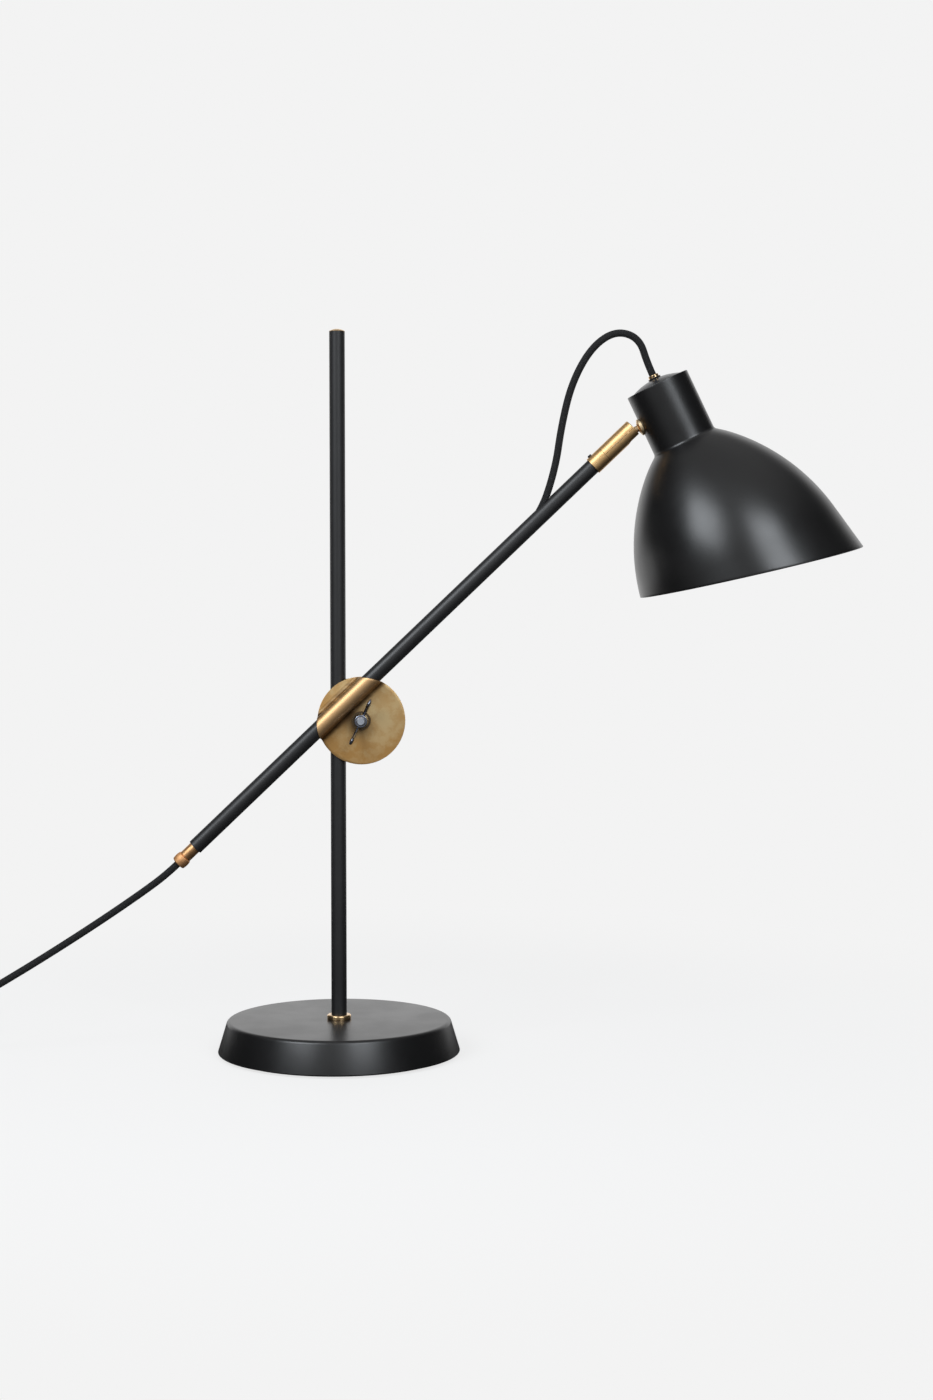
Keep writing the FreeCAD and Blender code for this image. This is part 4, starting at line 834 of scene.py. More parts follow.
@dataclass(frozen=True)
class BraidedTextile(Finish):
    """Woven cotton or rayon over the cord, with painted glints: a few yarns on top of the weave are painted
    paler.
    """

    # Colour of the painted highlights on the yarns.
    glint: Colour = (0.08, 0.08, 0.085)

    def shader(self, tree: Tree, effects: Effects) -> dict[str, Any]:
        """The braid in colour and normal.

        Args:
            tree: The material's tree.
            effects: The shared effects.

        Returns:
            A value or a socket for each input.
        """
        own_map = tree.add("ShaderNodeUVMap", uv_map="Surface").outputs[0]
        braid = tree.group(effects.braid, Vector=own_map)
        dark = tree.mix(braid.outputs["Height"], tuple(c * 0.3 for c in self.colour), self.colour)
        return {"Base Color": tree.mix(braid.outputs["Glint"], dark, self.glint),
                "Roughness": tree.between(braid.outputs["Height"], 0.0, 1.0, 0.85, self.roughness),
                "Normal": tree.bump(braid.outputs["Height"], 0.25)}

    def constants(self) -> dict[str, Any]:
        """Sheen of the loose fibres."""
        return {"Sheen Weight": 0.05, "Sheen Roughness": 0.4}


@dataclass(frozen=True)
class FrostedGlass(Finish):
    """Frosted lamp glass."""

    def constants(self) -> dict[str, Any]:
        """A milky wall: the frosting scatters most of the light and lets the rest through."""
        return {"Transmission Weight": 0.25, "IOR": 1.5}


class Palette:
    """The materials of the lamp, built when they are first used.

    Attributes:
        TURNED_ARM: Turns that bring the arm's axis onto Z.
        TURNED_SHADE: Turns that bring the shade's axis onto Z.
        KNUCKLE_SEAM: Place along the arm where the knuckle's socket meets its sleeve, in metres.
    """

    TURNED_ARM = (0.0, -46.28, 0.0)
    TURNED_SHADE = (0.0, 25.7, 0.0)
    KNUCKLE_SEAM = 0.54712

    def __init__(self) -> None:
        """Lists every finish by its slot."""
        self.effects = Effects()
        self.made: dict[Finish, bpy.types.Material] = {}
        finishes = (
            PowderCoat(Slot.POWDER_COAT, (0.0038, 0.0038, 0.0043), 0.33),
            AgedSheet(Slot.BRASS_SHEET, (0.95, 0.72, 0.38), 0.50, 1.0),
            TurnedMetal(Slot.BRASS_BRIGHT, (0.86, 0.60, 0.33), 0.24, 1.0, axis=self.TURNED_SHADE, worn=0.2,
                        stain=(0.3, 0.16, 0.06)),
            TurnedMetal(Slot.BRASS_DARK, (0.95, 0.61, 0.28), 0.42, 1.0, axis=self.TURNED_ARM, worn=0.3,
                        stain=(0.5, 0.26, 0.09), seam=self.KNUCKLE_SEAM),
            TurnedMetal(Slot.ZINC, (0.30, 0.32, 0.38), 0.28, 1.0, stain=(0.05, 0.053, 0.065), worn=0.6,
                        lines=900.0),
            TurnedMetal(Slot.BLACK_STEEL, (0.03, 0.03, 0.032), 0.35, 0.6, stain=(0.01, 0.01, 0.01)),
            Finish(Slot.CAST_IRON, (0.07, 0.068, 0.066), 0.8, 0.3),
            Finish(Slot.FELT, (0.012, 0.012, 0.013), 0.97),
            BraidedTextile(Slot.CORD, (0.012, 0.012, 0.013), 0.66),
            Finish(Slot.BLACK_PLASTIC, (0.015, 0.015, 0.016), 0.42),
            Finish(Slot.ROCKER, (0.02, 0.02, 0.021), 0.22),
            Finish(Slot.CAP, (0.03, 0.031, 0.034), 0.33),
            FrostedGlass(Slot.GLASS, (0.9, 0.9, 0.88), 0.3),
            TurnedMetal(Slot.BULB_CAP, (0.72, 0.72, 0.73), 0.3, 1.0, stain=(0.3, 0.3, 0.3), worn=0.2),
            TurnedMetal(Slot.PINS, (0.75, 0.74, 0.72), 0.2, 1.0, stain=(0.4, 0.4, 0.4), worn=0.2),
            Finish(Slot.NYLON, (0.62, 0.6, 0.55), 0.5),
            Finish(Slot.HOLDER, (0.02, 0.02, 0.02), 0.5),
        )
        self.finishes = {finish.slot: finish for finish in finishes}
        tube = PowderCoat(Slot.POWDER_COAT, (0.010, 0.010, 0.011), 0.44, label="tube")
        # The washer is coloured dark brown as a painted shadow round the nut's hub.
        shadowed_washer = TurnedMetal(Slot.ZINC, (0.20, 0.14, 0.08), 0.45, 1.0, label="shadowed_washer",
                            stain=(0.05, 0.035, 0.02))
        bolt = TurnedMetal(Slot.ZINC, (0.62, 0.66, 0.74), 0.5, 1.0, label="bolt", stain=(0.3, 0.32, 0.36),
                           lines=900.0)
        copper, aged = (0.95, 0.54, 0.25), (0.5, 0.22, 0.08)
        tail = TurnedMetal(Slot.BRASS_DARK, copper, 0.42, 1.0, label="tail", axis=self.TURNED_ARM, stain=aged)
        grip = TurnedMetal(Slot.BRASS_DARK, copper, 0.62, 1.0, label="grip", axis=self.TURNED_ARM, stain=aged)
        # The saddle ring's paler, rougher brass is a painted highlight on its face.
        saddle = TurnedMetal(Slot.BRASS_BRIGHT, (1.0, 0.78, 0.48), 0.48, 1.0, label="saddle",
                             axis=self.TURNED_SHADE, stain=aged, worn=0.15)
        self.special = {"pole_tube": tube, "arm_tube": tube, "clamp_washer": shadowed_washer, "clamp_bolt": bolt,
                        "neck_ring": saddle, "arm_end_sleeve": tail, "cord_grip_nut": grip}

    def material(self, slot: Slot, node: str = "") -> bpy.types.Material:
        """The material of a slot, or of one node whose finish differs from its slot's others.

        Args:
            slot: The slot.
            node: The node, where there is one.

        Returns:
            The material.
        """
        finish = self.special.get(node, self.finishes[slot])
        if finish not in self.made:
            self.made[finish] = finish.material(self.effects)
        return self.made[finish]


@dataclass
class Assembly:
    """A sub-assembly: it knows the lamp's layout and dresses its own pieces."""

    layout: Layout
    palette: Palette

    def dress(self, piece: bpy.types.Object, slot: Slot, *nodes: str, body: Body | None = None) -> None:
        """Gives a new piece its finish and its body, and hides the nodes that it stands for.

        Args:
            piece: The piece.
            slot: Its slot.
            nodes: The nodes that it stands for.
            body: Its body, or none for a piece that gets one later or keeps none.
        """
        piece.data.materials.clear()
        piece.data.materials.append(self.palette.material(slot, nodes[0]))
        if body is not None:
            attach(piece, body.value)
        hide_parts(*nodes)
        LOG.info("%s: %d faces, stands for %s", piece.name, len(getattr(piece.data, "polygons", ())), nodes)


# ---- base and pole ----


@dataclass
class Base(Assembly):
    """The weighted round base under its spun cover.

    Attributes:
        diameter: Of the cover's foot.
        height: Of the cover's top above the table.
        draft: The side's slope from upright, in degrees.
        edge: Radius of the top edge.
        wall: Thickness of the cover.
        felt: Thickness of the felt, at whose top the cover starts.
        hole: Radius of the hole for the pole's stud.
    """

    diameter: float = 220.0
    height: float = 31.0
    draft: float = 16.8
    edge: float = 4.0
    wall: float = 2.0
    felt: float = 2.2
    hole: float = 5.1

    def build(self) -> None:
        """Spins the cover: outside from the pole's hole over the top edge and down, then back up inside."""
        slope = math.tan(math.radians(self.draft))
        foot, top = self.diameter / 2, self.height
        shoulder = foot - (top - self.felt) * slope
        inner_foot = foot - self.wall / math.cos(math.radians(self.draft))
        inner_shoulder = inner_foot - (top - self.wall - self.felt) * slope
        section = outline([
            (self.hole, top - self.wall), (inner_shoulder, top - self.wall, self.edge - self.wall),
            (inner_foot, self.felt), (foot, self.felt, 0.5), (shoulder, top, self.edge), (self.hole, top),
        ], steps=10)
        cover = Surface("base_shell", lathe(section, upright(0), 256), ring=True).build()
        self.dress(cover, Slot.POWDER_COAT, "base_cover", body=Body.BASE)


@dataclass
class Pole(Assembly):
    """The upright tube's brass ends.

    Attributes:
        foot: Height of the tube's lower end.
        length: Of the tube.
        cap_rise: Height of the cap's dome.
        plug: Length of the cap's plug in the tube.
        bore: Radius of that plug.
        collar: Diameter of the collar.
        collar_height: Height of the collar.
    """

    foot: float = 31.0
    length: float = 621.0
    cap_rise: float = 2.4
    plug: float = 14.0
    bore: float = 5.65
    collar: float = 21.8
    collar_height: float = 4.4

    def build(self) -> None:
        """Turns the cap and the collar."""
        radius = self.layout.tube / 2
        rim = self.cap_rise / 6
        edge = outline([(0, -self.plug), (self.bore, -self.plug, 0.4), (self.bore, 0), (radius, 0, 0.12),
                        (radius, rim)], ring=False)
        section = np.concatenate([edge[:-1], dome(radius, self.cap_rise - rim, rim)])
        top = Surface("pole_top_cap", lathe(section, upright(self.foot + self.length), 64)).build()
        self.dress(top, Slot.BRASS_BRIGHT, "pole_cap", body=Body.POLE)

        inside, outside = radius + 0.05, self.collar / 2
        ring = outline([(inside, 0), (outside, 0, 0.3), (outside, self.collar_height, 1.5),
                        (inside, self.collar_height, 0.3)])
        collar = Surface("pole_foot_collar", lathe(ring, upright(self.foot), 96), ring=True).build()
        self.dress(collar, Slot.BRASS_BRIGHT, "pole_collar", body=Body.POLE)


# ---- clamp ----


@dataclass
class Clamp(Assembly):
    """The two pressed discs and the wing nut.

    Attributes:
        disc: Diameter of a disc.
        wall: Thickness of the sheet.
        gap: Between the two discs. With the wall it keeps each face 0.015 clear of the washers.
        play: From the tube to the channel round it.
        bend: Radius of the bends beside the channel.
        brim_slope: Fall of the strip beyond the channel, in degrees. The two strips pass each other.
        bolt_hole: Diameter of the hole for the bolt.
        washer: Thickness of the washer under the nut.
        lift: The nut above the washer's place.
        hub: Diameter of the nut's foot.
        hub_height: Height of the nut's hub.
        nut_bore: Diameter of the nut's bore.
        wing_span: Across the tips of the wings.
        wing_height: Height of the tips above the nut's foot.
        wing_thick: Thickness of a wing near the hub.
        wing_angle: The wings above level, seen from the front, in degrees.
        wing_root: Where a wing starts, as shares of the hub's diameter and height.
        wing_knee: The middle of its curve, as shares of the wings' span and the hub's height.
        wing_tip: Where it ends, as shares of the wings' span and height.
        wing_width: Half its width at the root, and what it gains toward the tip.
        wing_swell: Its thickness at the root over wing_thick, and what that gains.
        wing_close: Share of a wing that rounds off into its tip.
        bend_dirt_and_shade_reach: From the channel's side to the darkest dirt and painted shade in the bend,
            on the rim's side and on the bolt's.
        nut_dirt_and_shade: Dirt and painted shade beside the nut: its middle and its reach, each along and
            across the channel.
        corner_dirt_and_shade: Dirt and painted shade between the nut and the channel, in the same way.
        lower_left_warmth: How far the sheet turns warmer and darker at its middle.
        lower_left_warmth_fall: Distances along and across in which that share falls from 1 to 0.
    """

    disc: float = 79.0
    wall: float = 1.17
    gap: float = 1.03
    play: float = 0.1
    bend: float = 3.3
    brim_slope: float = 3.9
    bolt_hole: float = 8.2
    washer: float = 1.6
    lift: float = 0.03
    hub: float = 14.0
    hub_height: float = 9.5
    nut_bore: float = 8.2
    wing_span: float = 42.0
    wing_height: float = 21.0
    wing_thick: float = 2.6
    wing_angle: float = 65.0
    wing_root: Pair = (0.30, 0.45)
    wing_knee: Pair = (0.27, 0.60)
    wing_tip: Pair = (0.49, 1.0)
    wing_width: Pair = (2.4, 2.0)
    wing_swell: Pair = (1.05, 0.35)
    wing_close: float = 0.14
    bend_dirt_and_shade_reach: Pair = (0.7, 1.254)
    nut_dirt_and_shade: tuple[Pair, Pair] = ((-6.0, -1.0), (7.746, 10.0))
    corner_dirt_and_shade: tuple[Pair, Pair] = ((-4.0, 11.0), (16.0, 4.5))
    lower_left_warmth: float = 0.35
    lower_left_warmth_fall: Pair = (40.0, 90.0)

    @property
    def flat(self) -> float:
        """Height of a disc's flat outer face above the middle of the clamp."""
        return self.gap / 2 + self.wall

    def section(self) -> tuple[Array, Array, Array]:
        """The disc's outer face across the channel.

        Returns:
            (distance across, height) of each row, then how far each row is on the ridge and in a bend
            darkened with dirt and painted shade.
        """
        radius, hole = self.disc / 2, self.bolt_hole / 2
        tube = self.layout.tube / 2 + self.play + self.wall
        level = (self.layout.tube + self.layout.tube_gap) / 2
        middle, foot = self.layout.channel, tube + self.bend
        quarter = np.linspace(0, math.pi / 2, 9)
        half = np.linspace(0, math.pi, 29)

        def flat_rows(low: float, high: float, size: float, count: int) -> Array:
            """Rows on the flat, at the sines of even angles between two distances across.

            Args:
                low: The first distance.
                high: The last distance.
                size: The distance that has a sine of one.
                count: Number of rows.

            Returns:
                (distance across, height) of each row.
            """
            turn = np.linspace(math.asin(low / size), math.asin(high / size), count)
            rows = size * np.sin(turn)
            return np.stack([rows, np.full(count, self.flat)], -1)

        start, finish = middle - foot, middle + foot
        rise = np.stack([start + self.bend * np.sin(quarter),
                         self.flat + self.bend * (1 - np.cos(quarter))], -1)
        ridge = np.stack([middle - tube * np.cos(half), level + tube * np.sin(half)], -1)
        fall = np.stack([2 * middle - rise[::-1, 0], rise[::-1, 1]], -1)
        brim = flat_rows(finish, radius, radius, 14)[1:]
        brim[:, 1] -= (brim[:, 0] - finish) * math.tan(math.radians(self.brim_slope))
        parts = [flat_rows(-radius, -hole, radius, 24)[:-1], flat_rows(-hole, hole, hole, 15)[:-1],
                 flat_rows(hole, start, radius, 6)[:-1], rise, ridge, fall, brim]
        rows = np.concatenate(parts)
        away = np.abs(rows[:, 0] - middle)
        on_ridge = np.clip((tube + 0.5 - away) / 2.5, 0, 1)
        # The dirt and painted shade in the bends peak at a different distance on each side of the channel.
        bed = tube + np.where(rows[:, 0] > middle, *self.bend_dirt_and_shade_reach)
        bend_dirt_and_shade_share = np.clip(1 - np.abs(away - bed) / self.bend, 0, 1) ** 0.45
        return rows, on_ridge, bend_dirt_and_shade_share

    def make_disc(self, name: str, frame: Frame, node: str, body: Body) -> None:
        """Presses one disc: the section is carried along the channel, each row as long as its chord.

        The two halves of a row stop at the bolt's hole where they cross it, and meet elsewhere.

        Args:
            name: The piece's name.
            frame: The disc's place.
            node: The node that it stands for.
            body: Its body.
        """
        rows, on_ridge, bend_dirt_and_shade_share = self.section()
        across = rows[:, :1]
        outer = np.sqrt(np.maximum((self.disc / 2) ** 2 - across ** 2, 0))
        inner = np.sqrt(np.maximum((self.bolt_hole / 2) ** 2 - across ** 2, 0))
        share = np.linspace(0, 1, 15)
        half = inner + (outer - inner) * share
        along = np.concatenate([-half[:, ::-1], half], axis=1)
        local = np.stack([along, across + 0 * along, rows[:, 1:] + 0 * along], -1)
        sheet = Surface(name, frame.place(local), around=False, gap=len(share) - 1, facing=frame.along,
                        values={"ridge": on_ridge, "bend_dirt_and_shade": bend_dirt_and_shade_share})
        disc = sheet.build()
        place = np.zeros(len(disc.data.vertices) * 3, np.float32)
        disc.data.vertices.foreach_get("co", place)
        offset = place.reshape(-1, 3) / MM - frame.origin
        offset = np.stack([offset @ frame.across, offset @ frame.level], -1)
        rim = np.linalg.norm(offset, axis=1) / (self.disc / 2)
        # Dirt and painted shade: darkest beside the nut and in the corner between the nut and the channel.
        near_nut, corner = (np.exp(-(((offset - middle) / reach) ** 2).sum(1))
                            for middle, reach in (self.nut_dirt_and_shade, self.corner_dirt_and_shade))
        dirt_and_shade = np.clip(near_nut + 0.7 * corner, 0, 0.9)
        # A share that grows towards the lower left, where the sheet turns warmer and darker.
        lower_left_warmth = np.clip(self.lower_left_warmth - (offset / self.lower_left_warmth_fall).sum(1), 0, 1)
        for label, amount in (("rim", rim), ("dirt_and_shade", dirt_and_shade), ("lower_left_warmth", lower_left_warmth)):
            attribute = disc.data.attributes.new(label, "FLOAT", "POINT")
            attribute.data.foreach_set("value", amount.astype(np.float32))
        wall = disc.modifiers.new("wall", "SOLIDIFY")
        wall.thickness, wall.offset, wall.use_even_offset = self.wall * MM, -1.0, True
        edge = disc.modifiers.new("edge", "BEVEL")
        edge.width, edge.segments = 0.22 * MM, 2
        edge.limit_method, edge.angle_limit = "ANGLE", math.radians(50)
        self.dress(disc, Slot.BRASS_SHEET, node, body=body)

    def make_wing(self, side: int, frame: Frame) -> Surface:
        """One wing: an ellipse carried along a curve from the hub to the tip.

        The curve is a parabola through the wing's root, shoulder and tip. The ellipse's long axis lies
        across the curve in the wing's plane, and it closes as a square root at both ends.

        Args:
            side: 1 or -1.
            frame: The middle of the nut's foot.

        Returns:
            The wing.
        """
        share = np.linspace(0, 1, 34)[:, None]
        root = np.array([self.hub, self.hub_height]) * self.wing_root
        knee = np.array([self.wing_span, self.hub_height]) * self.wing_knee
        tip = np.array([self.wing_span, self.wing_height]) * self.wing_tip
        path = (1 - share) ** 2 * root + 2 * share * (1 - share) * knee + share ** 2 * tip
        way = unit(2 * (1 - share) * (knee - root) + 2 * share * (tip - knee))
        square = np.stack([-way[:, 1], way[:, 0]], -1)
        closing = np.maximum(share - (1 - self.wing_close), 0) / self.wing_close
        ends = np.sqrt(np.clip(1 - closing ** 2, 0, 1))
        width = (self.wing_width[0] + self.wing_width[1] * share ** 2) * ends
        thick = (self.wing_thick / 2) * (self.wing_swell[0] + self.wing_swell[1] * share) * ends
        turn = np.arange(20) * (2 * math.pi / 20)
        flat = path[:, None] + square[:, None] * (width * np.cos(turn))[..., None]
        local = np.stack([side * flat[..., 0], thick * np.sin(turn) + 0 * flat[..., 0], flat[..., 1]], -1)
        first, last = local[:1] * 0 + local[:1].mean(1, keepdims=True), local[-1:].mean(1, keepdims=True)
        grid = np.concatenate([first, local, np.broadcast_to(last, first.shape)])
        return Surface("wing", frame.place(grid))

    def make_wing_nut(self) -> None:
        """Casts the wing nut: a tapered hub with a rounded shoulder, and two upswept wings."""
        turn = math.radians(self.wing_angle)
        across = np.array([math.cos(turn), 0.0, math.sin(turn)])
        level = np.array([-math.sin(turn), 0.0, math.cos(turn)])
        base = self.layout.clamp_middle - BACK * (self.flat + self.washer + self.lift)
        frame = Frame(base, across, level, -BACK)
        bore, foot = self.nut_bore / 2, self.hub / 2
        waist = foot - self.hub_height / 8
        hub = outline([(bore, 0, 0.2), (foot, 0, 0.6), (foot, self.hub_height / 5, 0.8),
                       (waist, self.hub_height, 0.9), (bore, self.hub_height, 0.4)], steps=5)
        surfaces = [Surface("hub", lathe(hub, frame, 72), ring=True)]
        surfaces += [self.make_wing(side, frame) for side in (1, -1)]
        nut = joined("wing_nut_casting", surfaces)
        self.dress(nut, Slot.ZINC, "wing_nut", body=Body.NUT)

    def build(self) -> None:
        """Makes the two discs and the wing nut."""
        self.make_disc("disc_front", self.layout.front_disc, "clamp_disc_front", Body.TILT_DISC)
        self.make_disc("disc_rear", self.layout.rear_disc, "clamp_disc_rear", Body.CLAMP)
        self.make_wing_nut()


# ---- arm ----


@dataclass
class Arm(Assembly):
    """The brass pieces at the arm's lower end.

    Attributes:
        tail: From the clamp to the tube's lower end.
        bore: Radius of the hole for the cord.
        sleeve: Radius of the sleeve.
        show: Half the sleeve's length, which is how far it stands out.
        grip: Diameter of the grip nut.
        grip_length: Length of the grip nut.
    """

    tail: float = 186.6
    bore: float = 3.4
    sleeve: float = 5.65
    show: float = 12.5
    grip: float = 14.0
    grip_length: float = 9.1

    def build(self) -> None:
        """Turns the end sleeve and the grip nut."""
        end = self.layout.arm.moved(-self.tail)
        sleeve = outline([(self.bore, -self.show, 0.2), (self.sleeve, -self.show, 0.4),
                          (self.sleeve, self.show, 0.3), (self.bore, self.show, 0.2)])
        piece = Surface("tail_sleeve", lathe(sleeve, end, 64), ring=True).build()
        self.dress(piece, Slot.BRASS_DARK, "arm_end_sleeve", body=Body.ARM)

        low, high = -self.show - self.grip_length, -self.show
        edge, belly = self.grip / 2 - 0.55, self.grip / 2
        nut = outline([(self.bore, low, 0.2), (edge, low, 1.3), (belly, (low + high) / 2, 12.0),
                       (edge, high, 1.3), (self.bore, high, 0.2)], steps=8)
        piece = Surface("tail_grip_nut", lathe(nut, end, 96), ring=True).build()
        self.dress(piece, Slot.BRASS_DARK, "cord_grip_nut", body=Body.ARM)


# ---- shade ----


@dataclass
class Shade(Assembly):
    """The spun shade with its neck, and the cap in the neck's top.

    Attributes:
        wall: Thickness of the shade.
        neck_length: Straight length of the neck.
        fillet: Radius of the turn out of the neck.
        shoulder_slope: Where the first arc starts, in degrees from the neck's direction.
        shoulder_radius: Radius of the first arc.
        side_slope: Where the second arc starts.
        side_radius: Radius of the second arc.
        flare_slope: Where it ends, and the slope of the straight flare.
        depth: From the neck's top to the rim, along the axis.
        rim_slant: The rim's plane from square to the axis, in degrees.
        cap_rise: Height of the cap's seat above the neck's top.
        cap_skirt: Depth of the cap's skirt in the neck.
        cap_wall: Thickness of the cap.
        cap_dome: Diameter of the dome's foot.
        cap_ball: Radius of the dome.
        nipple: Diameter of the threaded tube.
        saddle: Diameter of the saddle ring.
        saddle_bore: Diameter of its hole.
        saddle_start: From the ball's middle to the ring's face.
    """

    wall: float = 1.2
    neck_length: float = 54.9
    fillet: float = 4.3
    shoulder_slope: float = 53.7
    shoulder_radius: float = 120.0
    side_slope: float = 45.0
    side_radius: float = 182.2
    flare_slope: float = 10.7
    depth: float = 186.5
    rim_slant: float = 12.6
    cap_rise: float = 4.8
    cap_skirt: float = 6.0
    cap_wall: float = 1.5
    cap_dome: float = 48.0
    cap_ball: float = 56.0
    nipple: float = 8.6
    saddle: float = 15.1
    saddle_bore: float = 6.1
    saddle_start: float = 11.3

    def profile(self, offset: float) -> tuple[Array, Array]:
        """Depth and radius of the wall at a distance inside its outer face.

        The neck is straight. A small fillet turns it out to the shoulder's slope. Two swelling arcs follow,
        each starting as steep as the one before it ends, and a straight flare runs past the rim.

        Args:
            offset: Distance inside the outer face.

        Returns:
            The depths below the neck's top, rising, and the radius at each of them.
        """
        slopes = (self.shoulder_slope, self.side_slope, self.flare_slope)
        first, second, last = (math.radians(slope) for slope in slopes)
        neck = self.layout.neck / 2 - offset
        small = self.fillet + offset
        turn = np.linspace(0, first, 16)
        out, down = neck + small * (1 - np.cos(turn)), self.neck_length + small * np.sin(turn)
        radii, depths = [np.array([neck]), out], [np.array([0.0]), down]
        for radius, start, finish in ((self.shoulder_radius - offset, first, second),
                                      (self.side_radius - offset, second, last)):
            turn = np.linspace(start, finish, 60)[1:]
            radii.append(radii[-1][-1] + radius * (np.cos(turn) - math.cos(start)))
            depths.append(depths[-1][-1] - radius * (np.sin(turn) - math.sin(start)))
        reach = self.depth
        radii.append(radii[-1][-1:] + reach * math.tan(last))
        depths.append(depths[-1][-1:] + reach)
        return np.concatenate(depths), np.concatenate(radii)

    def rim_depth(self, depths: Array, radii: Array, turn: Array) -> Array:
        """Depth at which each side of the bell meets the rim's slanted plane, by repeated substitution.

        Args:
            depths: Depths along the profile.
            radii: The radius at each of them.
            turn: Angles round the axis.

        Returns:
            The depth at each angle.
        """
        slant = math.tan(math.radians(self.rim_slant))
        depth = np.full(turn.shape, self.depth)
        for _ in range(40):
            depth = self.depth + np.interp(depth, depths, radii) * np.cos(turn) * slant
        return depth

    def make_bell(self) -> None:
        """Spins the shade: outside from the neck's top down to the rim, round it, and up again inside.

        Each row is a share of the way from the neck to the rim, so that all rows follow the slanted rim.
        """
        columns = 288
        turn = np.arange(columns) * (2 * math.pi / columns)
        half_wall = self.wall / 2
        shell = []
        sides = {}
        for name, offset in (("out", 0.0), ("in", self.wall), ("core", half_wall)):
            depths, radii = self.profile(offset)
            sides[name] = (depths, radii, self.rim_depth(depths, radii, turn))
        core_end = sides["core"][2] - half_wall
        fillet_end = self.neck_length + self.fillet * math.sin(math.radians(self.shoulder_slope))
        neck_rows = np.concatenate([np.array([half_wall, 1.5]), np.linspace(8, self.neck_length, 6),
                                    np.linspace(self.neck_length, fillet_end, 10)[1:]])
        bell_rows = np.linspace(0, 1, 64)[1:, None]
        for name in ("out", "in"):
            depths, radii, _ = sides[name]
            neck = np.broadcast_to(neck_rows[:, None], (len(neck_rows), columns))
            bell = fillet_end + (core_end - fillet_end) * bell_rows
            depth = np.concatenate([neck, bell])
            radius = np.interp(depth, depths, radii)
            shell.append(np.stack([radius, depth], -1))
        outer, inner = shell
        inner = inner[::-1]
        bend = np.linspace(0, math.pi, 7)[1:-1, None, None]
        middle, spoke = (outer[-1] + inner[0]) / 2, (outer[-1] - inner[0]) / 2
        away = np.stack([0 * spoke[..., 0], np.linalg.norm(spoke, axis=-1)], -1)
        rim = middle + spoke * np.cos(bend) + away * np.sin(bend)
        top = (outer[:1] + inner[-1:]) / 2 * np.array([1.0, 0.0])
        lift = np.linspace(0, math.pi, 9)[1:-1, None, None]
        arc = np.concatenate([-half_wall * np.cos(lift), -half_wall * np.sin(lift)], -1)
        lip = top + arc + np.array([0.0, half_wall])
        section = np.concatenate([outer, rim, inner, lip])
        radius, depth = section[..., 0], section[..., 1]
        local = np.stack([radius * np.cos(turn), radius * np.sin(turn), -depth], -1)
        bell = Surface("shade_bell", self.layout.shade.place(local), ring=True).build()
        self.dress(bell, Slot.POWDER_COAT, "shade", body=Body.SHADE)

    def make_cap(self) -> None:
        """Moulds the domed cap: a flat seat for the nut, the dome, a narrow ledge and a skirt in the neck."""
        skirt = self.layout.neck / 2 - self.wall - 0.05
        hole, seat, edge = self.nipple / 2 + 0.05, 6.6, self.cap_dome / 2
        reach = np.linspace(seat, edge, 14)[:, None]
        fall = math.sqrt(self.cap_ball ** 2 - seat ** 2) - np.sqrt(self.cap_ball ** 2 - reach ** 2)
        crown = np.concatenate([reach, self.cap_rise - fall], -1)
        ledge = float(crown[-1, 1])
        inside, below = skirt - self.cap_wall, ledge - self.cap_wall
        skin = outline([(edge, ledge), (skirt, ledge, 0.6), (skirt, -self.cap_skirt, 0.3),
                        (inside, -self.cap_skirt, 0.3), (inside, below), (edge, below)], ring=False)
        under = crown[::-1] - np.array([0.0, self.cap_wall])
        section = np.concatenate([[[hole, self.cap_rise]], crown, skin[1:-1], under,
                                  [[hole, self.cap_rise - self.cap_wall]]])
        cap = Surface("neck_top_cap", lathe(section, self.layout.shade, 128), ring=True).build()
        self.dress(cap, Slot.CAP, "neck_cap", body=Body.SHADE)

    def make_saddle(self) -> None:
        """Turns the ring that seats the ball's stem on the neck.

        Its face rises as a shallow cone to a round rim. The other end is hollowed to the neck: a point to one
        side meets the cylinder at the root of the neck's radius squared less that distance squared.
        """
        ball = self.layout.arm.moved(self.layout.ball_place).origin
        frame = Frame(ball, self.layout.shade.along, BACK, self.layout.shade.across)
        bore, rim, neck = self.saddle_bore / 2, self.saddle / 2, self.layout.neck / 2
        first = self.saddle_start
        front = outline([(bore, first + 0.9), (bore, first, 0.25), (bore + 0.9, first, 0.4),
                         (rim, first + 1.5, 0.7), (rim, first + 3.0)], ring=False)
        rings = lathe(front, frame, 96)
        local = rings - frame.origin
        sides = local @ frame.level
        seat = self.layout.stem_reach + neck - np.sqrt(neck ** 2 - sides ** 2)
        height = local @ frame.along
        for row in (0, -1):
            rings[row] += frame.along * (seat[row] - height[row])[:, None]
        piece = Surface("neck_saddle", rings, ring=True).build()
        self.dress(piece, Slot.BRASS_BRIGHT, "neck_ring", body=Body.SHADE)

    def build(self) -> None:
        """Makes the bell, the cap and the saddle ring."""
        self.make_bell()
        self.make_cap()
        self.make_saddle()


# ---- cord ----


